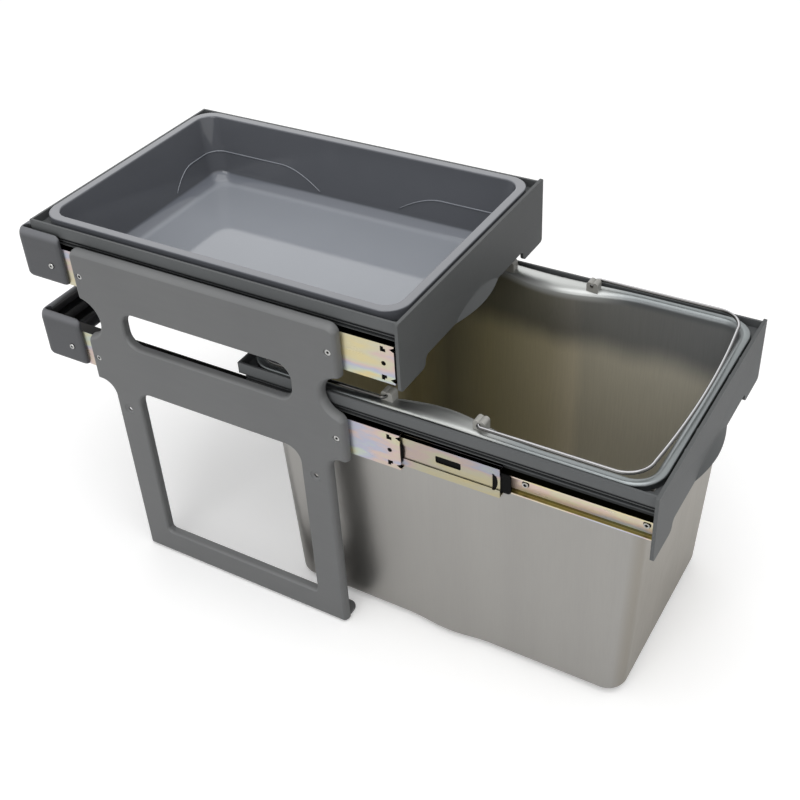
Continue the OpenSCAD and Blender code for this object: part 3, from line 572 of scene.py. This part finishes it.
def plated_steel(name, base, rough, seat=0.0):
    """Zinc plate: a bright grey with cloudy dulling and fine turning marks, and painted shade in a recess
    that lies nearer to the unit's middle than a seat in metres."""
    material, graph = finish(name)
    clouds, marks = noise(graph, 120.0), noise(graph, 2400.0, (1, 0.2, 1))
    metal = tinted(graph, clouds, scaled(base, 0.75), base)
    x = parts_of(graph, graph.node("ShaderNodeTexCoord", out="Object"), "X")[0]
    # Painted shade: near black in the recess, nearer the unit's middle than the seat.
    painted_recess_shade = rise(graph, size_of(graph, x), seat, seat - 0.0001)
    surface(graph, {
        "Base Color": tinted(graph, painted_recess_shade, metal, paint(30, 30, 30)), "Metallic": 1.0,
        "Roughness": clouds * 0.15 + rough,
        "Normal": grained(graph, 0.1, 0.0001, marks)})
    return material


screws = screw_tree()
# The last number of each is its seat: below it the recess is painted dark, as painted shade.
sunk_zinc = plated_steel("sunk_screw_zinc", paint(205, 205, 203), 0.22, 0.1307)
pan_zinc = plated_steel("pan_screw_zinc", paint(205, 205, 203), 0.22, 0.1287)
screw_zinc = plated_steel("slide_screw_zinc", paint(205, 205, 203), 0.22, 0.1136)
turned("plate_screws",
       [at(s * FRAME_HALF, MIDDLE_Y + u, z) for s in (-1, 1) for u in (-SCREW_U, SCREW_U)
        for z in SLIDE_Z.values()],
       "root", "screw_steel", sunk_zinc, (2.15, 2.65, 0.9, -1.85, 2.5, 0.8, 2.05, 7.25), "side_plate_screws")
turned("crossbar_pan_screws",
       [at(s * BAR_HALF, 342, z) for s in (-1, 1) for z in SLIDE_Z.values()],
       "root", "screw_steel", pan_zinc, (2.9, 2.3, 1.1, 0.0, 2.2, 0.8, 2.05, 5.1), "crossbar_screws")
PULL = {"upper": 0, "lower": 204.6}  # how far out each drawer stands
INNER_WEB, INNER_SCREWS_Y = 111.3, (10.6, 106.6, 202.6, 330.6)
for level, z in SLIDE_Z.items():
    turned("inner_member_screws_" + level,
           [at(s * (INNER_WEB + 1.2), y - PULL[level], z) for s in (-1, 1) for y in INNER_SCREWS_Y],
           level + "_drawer", "zinc_steel", screw_zinc, (3.1, 2.3, 1.5, 0.0, 2.8, 0.8, 1.85, 4.6),
           "slide_screws_" + level)


# Ball slides: roll-formed steel, zinc plated and passivated to a pale straw with a faint oil-film
# play of blue and pink. Each has an outer, a middle and an inner member, black stops at the front
# ends, and two strips of caged balls.
TOP_FLANGES = (0.2349, 0.3187)  # heights of the members' upper halves, in metres


def near(graph, value, middle, reach):
    """1 where a value lies within reach of a middle, and else 0."""
    return graph.node("ShaderNodeMath", {"operation": "COMPARE"}, {0: value, 1: middle, 2: reach})


def passivated(name, straw, share, shade, metal=1.0):
    """Passivated zinc: its film blended towards a straw colour by a share, and its faces that lie
    flat painted in a shade colour, with painted highlight stripes along the balls' tracks."""
    material, graph = finish(name)
    film = graph.node("ShaderNodeValToRGB", {"stops": [
        (0.30, paint(224, 208, 152)), (0.42, paint(212, 206, 178)), (0.49, paint(218, 190, 184)),
        (0.56, paint(182, 186, 214)), (0.63, paint(196, 210, 196)), (0.73, paint(226, 206, 142))]},
        {"Fac": noise(graph, 20.0, (1, 0.7, 2.6), detail=4.0)})
    x, height = parts_of(graph, graph.node("ShaderNodeTexCoord", out="Object"), "XZ")
    # Painted highlight: the shade colour made much lighter, for stripes along the tracks.
    painted_highlight = tuple(min(1.0, c * 2.6) for c in shade[:3]) + (1,)
    painted_shade_and_highlights = graph.node("ShaderNodeValToRGB", {"stops": [
        (0.0, shade), (0.42, shade), (0.50, painted_highlight), (0.58, scaled(shade, 1.5)),
        (0.86, scaled(shade, 1.5)), (0.95, painted_highlight)]}, {"Fac": rise(graph, size_of(graph, x), 0.1123, 0.118)})
    lying = facing(graph, "Z", 0.45, 0.85)
    # The tops of the upper flanges are painted near black: painted shade under the drawers.
    low, high = [near(graph, height, middle, 0.014) for middle in TOP_FLANGES]
    painted_shade_and_highlights = tinted(graph, low + high, painted_shade_and_highlights, scaled(shade, 0.15))
    film = tinted(graph, share, film, straw)
    rolled = noise(graph, 900.0, (1, 0.03, 1), detail=3.0)
    dull = noise(graph, 60.0, detail=5.0)
    surface(graph, {
        "Base Color": tinted(graph, lying, film, painted_shade_and_highlights), "Metallic": lying * (1 - metal) + metal,
        "Roughness": dull * 0.12 + rolled * 0.08 + 0.2,
        "Normal": grained(graph, 0.12, 0.0001, rolled)})
    return material


def black_moulding(name):
    material, graph = finish(name)
    fine = noise(graph, 2200.0)
    surface(graph, {"Base Color": tinted(graph, noise(graph, 40.0), paint(6, 6, 6), paint(12, 12, 12)),
                    "Roughness": fine * 0.12 + 0.55, "Specular IOR Level": 0.08,
                    "Normal": grained(graph, 0.15, 0.0001, fine)})
    return material


def leaf(bm, x0, x1, low, high, r):
    """A thin plate that stands along the slide, between two corners given as (y, z)."""
    loft(bm, [[bm.verts.new(at(x, y, z)) for y, z in rounded_box(low, high, r, r, 4)] for x in (x0, x1)])


# The last colour in each is the painted shade on faces that lie flat.
pale_zinc = passivated("pale_zinc", paint(186, 183, 170), 0.3, paint(40, 39, 34))
middle_zinc = passivated("middle_zinc", paint(142, 140, 130), 0.5, paint(44, 43, 38))
straw_zinc = passivated("straw_zinc", paint(238, 228, 206), 0.2, paint(98, 94, 54), 0.45)
stop_black = black_moulding("stop_black")
cage_black = black_moulding("cage_black")
ball_steel = plated_steel("ball_steel", paint(200, 200, 202), 0.08)
for level in SLIDE_Z:
    for side in ("left", "right"):
        end = level + "_" + side
        dressed("slide_outer_" + end, "outer_member_" + end, 0.55, pale_zinc, "zinc_steel", 3)
        dressed("slide_middle_" + end, "middle_member_" + end, 0.35, middle_zinc, "zinc_steel")
        dressed("slide_inner_" + end, "inner_member_" + end, 0.4, straw_zinc, "zinc_steel")
        for cage in ("outer_cage_", "inner_cage_"):
            dressed(cage + end, "ball_" + cage + end, 0.15, cage_black, "cage_plastic", 1)
    dressed("outer_bumpers_" + level, "outer_stops_" + level, 0.3, stop_black, "black_plastic")
    dressed("middle_bumpers_" + level, "middle_catches_" + level, 0.3, stop_black, "black_plastic")
    z, run = SLIDE_Z[level], PULL[level] / 2
    for side, x in (("left", -1), ("right", 1)):
        tongue = closed_mesh("stop_tongue_" + level + "_" + side, lambda bm: leaf(
            bm, x * (SHEET_BACK - 1.22), x * (SHEET_BACK - 1.5), (7.6, z - 15.9), (22, z + 15.9), 1))
        ride(tongue, "root", stop_black, "black_plastic")
        # A thin black leaf behind the middle member's slot: a dark sheet standing for the shade seen through
        # it.
        tongue = closed_mesh("catch_tongue_" + level + "_" + side, lambda bm: leaf(
            bm, x * (SHEET_BACK - 4.72), x * (SHEET_BACK - 4.92),
            (31 - run, z - 2.2), (79.5 - run, z + 8.8), 1))
        ride(tongue, nodes["slide_middle_" + level + "_" + side]["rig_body"], stop_black, "black_plastic")
    for balls in ("outer_balls_", "inner_balls_"):
        for place in nodes[balls + level].material_slots:
            place.material = ball_steel
        for face in nodes[balls + level].data.polygons:
            face.use_smooth = True


# Drawer frames and front plates: charcoal ABS. A frame is a web with a ledge and a standing lip,
# two fine ribs under the lip, and an open well. Its front plate is welded on and turned out at
# the lower middle into a finger scoop.
LIP_Z = {"upper": 341.45, "lower": 257.65}
FRONT_T = 2.8
SCOOP_R, SCOOP_Z, SCOOP_OUT, SCOOP_FADE = 68.53, -106.93, 5.8, 11.5
SCOOP_HALF, SCOOP_LOW, SCOOP_STEPS = 38, -49.9, 28


def front_plate(bm, top, pull):
    """A plate with stepped lower corners, its lower middle drawn out along a cone."""
    half = (arc((122.5, -0.35), 1.5, 90, 0) + arc((121, -57), 3, 0, -90)
            + arc((91.05, -54.95), 5.05, 270, 180) + arc((80.95, -54.95), 5.05, 0, 90))
    xs = [SCOOP_HALF - 2 * SCOOP_HALF * i / SCOOP_STEPS for i in range(SCOOP_STEPS + 1)]
    crease = [(x, SCOOP_Z + math.sqrt(SCOOP_R ** 2 - x * x)) for x in xs]
    edges = []
    for y in (0, FRONT_T):
        outline = [bm.verts.new(at(x, y - pull, top + z)) for x, z in half]
        mirror = [bm.verts.new(at(-x, y - pull, top + z)) for x, z in reversed(half)]
        rows = []
        for share in (0, 0.25, 0.5, 0.75, 1):
            row = [(x, z + (SCOOP_LOW - z) * share) for x, z in crease]
            out = [SCOOP_OUT * (SCOOP_R - math.hypot(x, z - SCOOP_Z)) / SCOOP_FADE for x, z in row]
            rows.append([bm.verts.new(at(x, y - pull - o, top + z)) for (x, z), o in zip(row, out)])
        for first, second in zip(rows, rows[1:]):
            for i in range(SCOOP_STEPS):
                bm.faces.new((first[i], first[i + 1], second[i + 1], second[i]))
        fill(bm, outline + rows[0] + mirror)
        edges.append(outline + rows[-1] + mirror)
    bridge(bm, *edges)


def under_the_lip(graph):
    """1 on the long sides below the ledges, where shade is painted, and else 0."""
    x, z = parts_of(graph, graph.node("ShaderNodeTexCoord", out="Object"), "XZ")
    out = near(graph, size_of(graph, x), 0.116, 0.0055)
    low, high = [near(graph, z, middle, 0.0185) for middle in (0.2297, 0.3135)]
    return out * (low + high)


def away_from_the_light(graph):
    """Rises to one half towards the right-hand end of a front plate."""
    x = parts_of(graph, graph.node("ShaderNodeTexCoord", out="Object"), "X")[0]
    return rise(graph, x, 0.0, 0.12, top=0.5)


# The front plates are painted darker towards their right-hand ends, as painted shade.
drawer_grey = peeled("drawer_moulding", paint(80, 82, 83), paint(94, 96, 96), 0.5, 3200.0, 0.12, 0.22,
                     painted_shade_zone=away_from_the_light)
# The frames are painted darker below their ledges, as painted shade under the lips.
frame_grey = peeled("drawer_frame_moulding", paint(82, 84, 85), paint(94, 96, 97), 0.5, 3200.0, 0.12, 0.22,
                    painted_shade_zone=under_the_lip)
for level in SLIDE_Z:
    dressed("drawer_frame_" + level, "drawer_well_" + level, 0.5, frame_grey, "drawer_plastic")
    face = closed_mesh("drawer_face_" + level, lambda bm: front_plate(bm, LIP_Z[level], PULL[level]))
    eased(face, 0.0006, 2, 40)
    node = "drawer_front_" + level
    ride(face, nodes[node]["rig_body"], drawer_grey, "drawer_plastic", node)


# Tray: injection-moulded in glossy grey, with a rounded rim over a short skirt, drafted walls and
# a wide fillet round its floor. A raised line arches over its two right-hand corners.
def tub_ring(bm, half, y0, y1, r, z, bow=0.0, long_steps=36, corner_steps=10):
    """One level of a tub: a rounded rectangle whose long sides may bulge in about their middle."""
    r = max(r, 0.05)
    side = []
    for i in range(1, long_steps):
        y = y0 + r + (y1 - y0 - 2 * r) * i / long_steps
        off = min(1, abs(y - (y0 + y1) / 2) / 82)
        side.append((half - bow * math.cos(math.pi / 2 * off) ** 2, y))
    half_ring = (arc((half - r, y0 + r), r, -90, 0, corner_steps) + side
                 + arc((half - r, y1 - r), r, 0, 90, corner_steps))
    return [bm.verts.new(at(x, y, z)) for x, y in half_ring + [(-x, y) for x, y in reversed(half_ring)]]


def tub(bm, levels):
    """Lofts a closed tub from its inner floor up, over the rim, and down to its outer floor."""
    loft(bm, [tub_ring(bm, *level) for level in levels])


TRAY_TOP, TRAY_DEPTH, TRAY_HALF, TRAY_MIDDLE_Y = 343.95, 62.0, 115.0, 180.8
TRAY_DRAFT_X, TRAY_DRAFT_Y, TRAY_WALL, TRAY_CORNER = 9, 13, 8, 15


def tray_form(bm):
    """The tray as levels: fillet, inner wall, rim, skirt, outer wall and outer fillet."""
    y0, y1 = 4.6, 357.0

    def level(inset, z, slope=0.0):
        """One level, drawn in from the rim's outline. Its slope is 1 where the wall is drafted."""
        drop = (TRAY_TOP - z) / TRAY_DEPTH * slope
        corner = TRAY_CORNER + (TRAY_WALL - inset) * (0.625 if inset < TRAY_WALL else 0.4)
        along = inset + TRAY_DRAFT_Y * drop
        return (TRAY_HALF - inset - TRAY_DRAFT_X * drop, y0 + along, y1 - along, corner, z)

    floor = TRAY_TOP - TRAY_DEPTH
    levels = [level(TRAY_WALL + inset, z, 1) for inset, z in arc((11.5, floor + 11.5), 11.5, 270, 180)]
    levels += [level(TRAY_WALL, floor + (TRAY_DEPTH - 1.5 - 11.5) * i / 3 + 11.5, 1) for i in (1, 2)]
    levels += [level(inset, z) for inset, z in arc((6.7, TRAY_TOP - 1.3), 1.3, 0, 90, 4)]
    levels += [level(inset, z) for inset, z in arc((0.9, TRAY_TOP - 0.9), 0.9, 90, 180, 4)]
    levels += [level(inset, TRAY_TOP - drop) for inset, drop in (
        (0, 9.2), (0.3, 9.5), (1.7, 9.5), (2, 9.2), (2, 2), (6, 2))]
    levels += [level(6, TRAY_TOP - 9, 1)]
    levels += [level(6 + inset, z, 1) for inset, z in arc((13.5, floor + 11.5), 13.5, 180, 270)]
    tub(bm, levels)


def tray_wall(end, along, z):
    """A point on the inner wall near a corner, and its way out: along runs from the end wall's middle
    round the corner and up the long wall. The end is 1 for the rear and -1 for the front."""
    drop = (TRAY_TOP - z) / TRAY_DEPTH
    x, y = TRAY_HALF - TRAY_WALL - TRAY_DRAFT_X * drop, 168.2 - TRAY_DRAFT_Y * drop
    r = TRAY_CORNER
    straight, turn = x - r, r * math.pi / 2
    if along < straight:
        return along, TRAY_MIDDLE_Y + end * y, 0, end
    if along < straight + turn:
        a = math.pi / 2 - (along - straight) / r
        out_x, out_y = math.cos(a), math.sin(a)
        return x - r + r * out_x, TRAY_MIDDLE_Y + end * (y - r + r * out_y), out_x, end * out_y
    return x, TRAY_MIDDLE_Y + end * (y - r - (along - straight - turn)), 1, 0


def arch_line(bm, end):
    """The raised line that arches over a corner: level above it, and dipping towards its two ends."""
    last, dip = (176, 0.0125) if end > 0 else (164, 0.0108)
    first, foot, crown, r, steps = 37, 68.6, 310.9, 0.8, 96
    rings = []
    for i in range(steps + 1):
        along = first + (last + 38 - first) * i / steps
        z = crown - 0.0167 * max(0, foot - along) ** 2 - dip * max(0, along - last) ** 2
        x, y, out_x, out_y = tray_wall(end, along, z)
        rings.append([bm.verts.new(at(x + out_x * (0.1 - r * math.cos(a)),
                                      y + out_y * (0.1 - r * math.cos(a)), z + r * math.sin(a)))
                      for a in [math.tau * k / 8 for k in range(8)]])
    loft(bm, rings)


def gloss():
    """Polished grey moulding: the walls keep a dark grey, and faces that lie flat are painted lighter, as
    painted reflections of the light above.
    """
    material, graph = finish("tray_gloss")
    height = parts_of(graph, graph.node("ShaderNodeTexCoord", out="Object"), "Z")[0]
    rim = rise(graph, height, 0.325, 0.335)
    clouds, fine = noise(graph, 14.0, detail=4.0), noise(graph, 3600.0, detail=2.0)
    wall = tinted(graph, clouds, paint(84, 86, 91), paint(92, 94, 99))
    # Painted reflections of the light above: lightest on the floor, less on the rim, least on the floor's
    # fillet.
    painted_floor_reflection = tinted(graph, clouds, paint(145, 149, 156), paint(152, 156, 163))
    flat = tinted(graph, rim, painted_floor_reflection, tinted(graph, clouds, paint(118, 120, 125), paint(124, 126, 131)))
    lying = tinted(graph, rim, facing(graph, "Z", 0.3, 0.5), facing(graph, "Z", 0.6, 0.99))
    flat = tinted(graph, facing(graph, "Z", 0.8, 0.99), paint(116, 120, 128), flat)
    surface(graph, {
        "Base Color": tinted(graph, lying, wall, flat), "Roughness": clouds * 0.03 + fine * 0.02 + 0.03,
        "Specular IOR Level": 0.5,
        "Normal": grained(graph, 0.02, 0.0002, fine)})
    return material


tray_gloss = gloss()
tray = closed_mesh("tray_shell", tray_form)
ride(tray, "tray", tray_gloss, "tray_plastic", "tray")
for end, name in ((1, "rear"), (-1, "front")):
    line = closed_mesh("tray_arch_" + name, lambda bm: arch_line(bm, end))
    ride(line, "tray", tray_gloss, "tray_plastic")


# Bin: a deep-drawn stainless tub, brushed from top to bottom, with a rolled rim that hangs on the
# drawer's ledge. Its long sides draw in to a grip under the rim, and its left side swells out
# a little by the floor.
BIN_TOP, BIN_LOW, BIN_HALF, BIN_NECK = 257.65, 3, 117.5, 252


def bin_form(bm):
    """The bin as levels: inner floor and wall, rolled rim, outer wall and outer floor."""
    y0, y1 = 4.1 - PULL["lower"], 359.6 - PULL["lower"]

    def level(inset, z):
        """One level, drawn in from the rim's outline, with the wall's draft and its grip."""
        drop = max(0.0, (BIN_TOP - z) / (BIN_TOP - BIN_LOW))
        grip = 14 * math.exp(-((BIN_NECK - z) / 48) ** 2)
        if z > BIN_NECK:
            grip = 2 + 1.28 * min(inset, 5.5) + 1.2 * max(0, inset - 5.5)
        return (BIN_HALF - inset - 11.5 * drop, y0 + inset + 12.3 * drop, y1 - inset - 2.4 * drop,
                max(26 - inset, 16), z, grip)

    inner, skin = 9.5, 1.0
    heights = [25, 50, 80, 110, 140, 165, 185, 200, 213, 225, 235, 243, 249]
    levels = [level(inner + inset, z) for inset, z in arc((6, BIN_LOW + skin + 6), 6, 270, 180, 6)]
    levels += [level(inner, z) for z in heights]
    levels += [level(inset, z) for inset, z in arc((4.7, BIN_TOP - 4.8), 4.8, 0, 90)]
    levels += [level(inset, z) for inset, z in arc((3.0, BIN_TOP - 3.0), 3.0, 90, 180, 7)]
    levels += [level(inset, BIN_TOP - drop) for inset, drop in (
        (0, 6.4), (0.4, 7), (0.9, 6.4), (1, 3.2), (3, 1.3), (inner - skin - 2.4, 2.2), (inner - skin, 6))]
    levels += [level(inner - skin, z) for z in reversed(heights)]
    levels += [level(inner - skin + inset, z) for inset, z in arc((7, BIN_LOW + 7), 7, 180, 270, 6)]
    tub(bm, levels)
    for spot in bm.verts:
        x, y, z = spot.co * 1000
        if x < 0 and z < 60:
            along = math.cos(math.pi / 2 * min(1, abs(y + 102) / 42)) ** 2
            swell = along * math.exp(-((z - BIN_LOW) / 20) ** 2)
            spot.co.x -= 0.0036 * swell * min(1, -x / 95)


def brushed_steel():
    """Stainless steel brushed from top to bottom, with painted light: front faces darker as shade, the rim
    lighter upwards and by the saddles as highlights, and inside, warm bands of painted reflection, cooler
    higher up.
    """
    material, graph = finish("brushed_steel")
    x, y, z = parts_of(graph, graph.node("ShaderNodeTexCoord", out="Object"), "XYZ")
    way_x, way_y, way_z = parts_of(graph, graph.node("ShaderNodeNewGeometry", out="Normal"), "XYZ")
    off_middle = y + 0.1065
    grain = noise(graph, 900.0, (1, 1, 0.012), detail=4.0)
    bands = noise(graph, 22.0, (1, 1, 0.05), detail=2.0)
    smudges = noise(graph, 9.0, detail=4.0)
    outer = tinted(graph, grain * 0.4 + bands * 0.6, paint(154, 152, 149), paint(176, 174, 170))
    # Faces towards the front are painted darker and warmer, as painted shade.
    front = rise(graph, way_y * -1.0, 0.5, 0.95)
    outer = tinted(graph, front, outer, tinted(graph, bands, paint(146, 141, 132), paint(158, 153, 144)))
    flange = rise(graph, z, 0.2465, 0.2525, kind="SMOOTHSTEP")
    # The rim is painted lighter where it faces up, as painted light from above.
    rim = tinted(graph, way_z, paint(104, 107, 109), paint(138, 143, 144))
    # By the saddles the rim is painted lighter still: a painted highlight.
    grip = rise(graph, size_of(graph, off_middle), 0.075, 0.03, kind="SMOOTHSTEP")
    rim = tinted(graph, grip, rim, paint(178, 180, 178))
    inside = rise(graph, x * way_x * -8.5 + off_middle * way_y * -5.6, 0.25, 0.75)
    # Inside, the walls carry painted reflections in warm bands along the bin.
    painted_warm_reflections = graph.node("ShaderNodeValToRGB", {"stops": [
        (0.13, paint(212, 208, 194)), (0.43, paint(214, 208, 188)), (0.46, paint(232, 222, 196)),
        (0.53, paint(216, 206, 174)), (0.70, paint(196, 188, 152)), (0.82, paint(160, 156, 134)),
        (0.90, paint(198, 190, 156))]}, {"Fac": (y + 0.293) * 2.78})
    # Higher up, the painted reflections turn cooler.
    high = rise(graph, z + bands * 0.02, 0.195, 0.228, kind="SMOOTHSTEP")
    painted_cool_reflection = graph.node("ShaderNodeMix", {"data_type": "RGBA", "blend_type": "MULTIPLY"},
                      {0: high, 6: painted_warm_reflections, 7: paint(158, 163, 176)}, out=2)
    streaked = graph.node("ShaderNodeMix", {"data_type": "RGBA", "blend_type": "MULTIPLY"},
                          {0: grain * 0.35, 6: painted_cool_reflection, 7: paint(190, 190, 190)}, out=2)
    surface(graph, {
        "Base Color": tinted(graph, flange, tinted(graph, inside, outer, streaked), rim),
        "Metallic": 1.0 - inside * 0.7, "Roughness": grain * 0.16 + smudges * 0.1 + 0.24,
        "Normal": grained(graph, 0.1, 0.0002, grain)})
    return material


steel = brushed_steel()
bin_shell = closed_mesh("bin_shell", bin_form)
ride(bin_shell, "bin", steel, "bin_steel", "bin", "bin_rim")


# Bag holder: two bows of chromed 2.9 mm wire that fold down over the bag's mouth. Their turned-in
# ends pivot in four pale nylon saddles on the rim, and show past the saddles inside the bin.
WIRE_Z, WIRE_X, WIRE_R, BEND_R = 262.95, 114.2, 1.45, 22


def bent_wire(bm, pivot, bar, swell):
    """A bow from its pivot to its far bar, which bulges by a swell about its middle."""
    way = 1 if bar > pivot else -1
    reach = abs(bar - pivot) - swell
    path = [(WIRE_X - 13.5, 0), (WIRE_X - 8, 0)] + arc((WIRE_X - 3, 3), 3, -90, 0, 6)
    path += [(WIRE_X, 3 + (reach - BEND_R - 3) * i / 6) for i in range(1, 6)]
    flat = WIRE_X - BEND_R
    path += arc((flat, reach - BEND_R), BEND_R, 0, 90, 14)
    left = [(-x, y) for x, y in reversed(path)]
    path += [(x, reach + swell * (1 - (x / flat) ** 2))
             for x in [flat - 2 * flat * i / 16 for i in range(1, 16)]] + left
    path = [Vector((x, pivot + way * y, WIRE_Z)) for x, y in path]
    rings = []
    for i, spot in enumerate(path):
        ahead = (path[min(i + 1, len(path) - 1)] - path[max(i - 1, 0)]).normalized()
        level = ahead.cross(Vector((0, 0, 1)))
        steps = ((WIRE_R, 0),)
        if i == 0:
            steps = ((WIRE_R - 0.5, 0), (WIRE_R, 0.5))
        if i == len(path) - 1:
            steps = ((WIRE_R, -0.5), (WIRE_R - 0.5, 0))
        for r, back in steps:
            turn = [(level * math.cos(a) + Vector((0, 0, 1)) * math.sin(a)) * r
                    for a in [math.tau * k / 16 for k in range(16)]]
            rings.append([bm.verts.new(at(*(spot + ahead * back + t))) for t in turn])
    loft(bm, rings)


def saddles(bm, pivot):
    """Two clips, each a saddle with a hump on both sides of the pin."""
    humps = arc((-2.3, 5.4), 2.9, 180, 37.5, 10) + arc((2.3, 5.4), 2.9, 142.5, 0, 10)
    outline = [(-5.2, -1.6)] + humps + [(5.2, -1.6)]
    for side in (-1, 1):
        loft(bm, [[bm.verts.new(at(side * x, pivot + y, BIN_TOP + z)) for y, z in outline]
                  for x in (102, 110.9)])


def bright_wire():
    """Chrome plate: painted brighter where it faces up and darker where it faces the room, as a painted
    reflection.
    """
    material, graph = finish("ring_chrome")
    way_z = parts_of(graph, graph.node("ShaderNodeNewGeometry", out="Normal"), "Z")[0]
    # Upward faces are painted bright: a painted reflection of the light above.
    up = rise(graph, way_z, 0.8, 0.995)
    cloud = noise(graph, 120.0)
    surface(graph, {
        "Base Color": tinted(graph, up, paint(94, 93, 92), paint(190, 190, 192)), "Metallic": 1.0,
        "Roughness": cloud * 0.08 + 0.05,
        "Normal": grained(graph, 0.05, 0.0001, cloud)})
    return material


chrome = bright_wire()
clip_nylon = peeled("clip_nylon", paint(140, 139, 134), paint(170, 169, 164), 0.35, 2400.0, 0.1)
for name, pivot, bar, swell in (("front", -58, -194, 5), ("rear", 22, 146, 0)):
    wire = closed_mesh("wire_bow_" + name, lambda bm: bent_wire(bm, pivot, bar, swell))
    ride(wire, "bag_ring_" + name, chrome, "ring_chrome", "bag_ring_" + name)
    clips = closed_mesh("rim_clips_" + name, lambda bm: saddles(bm, pivot))
    eased(clips, 0.0013, 3, 40)
    ride(clips, "bin", clip_nylon, "clip_plastic", "ring_clips_" + name)
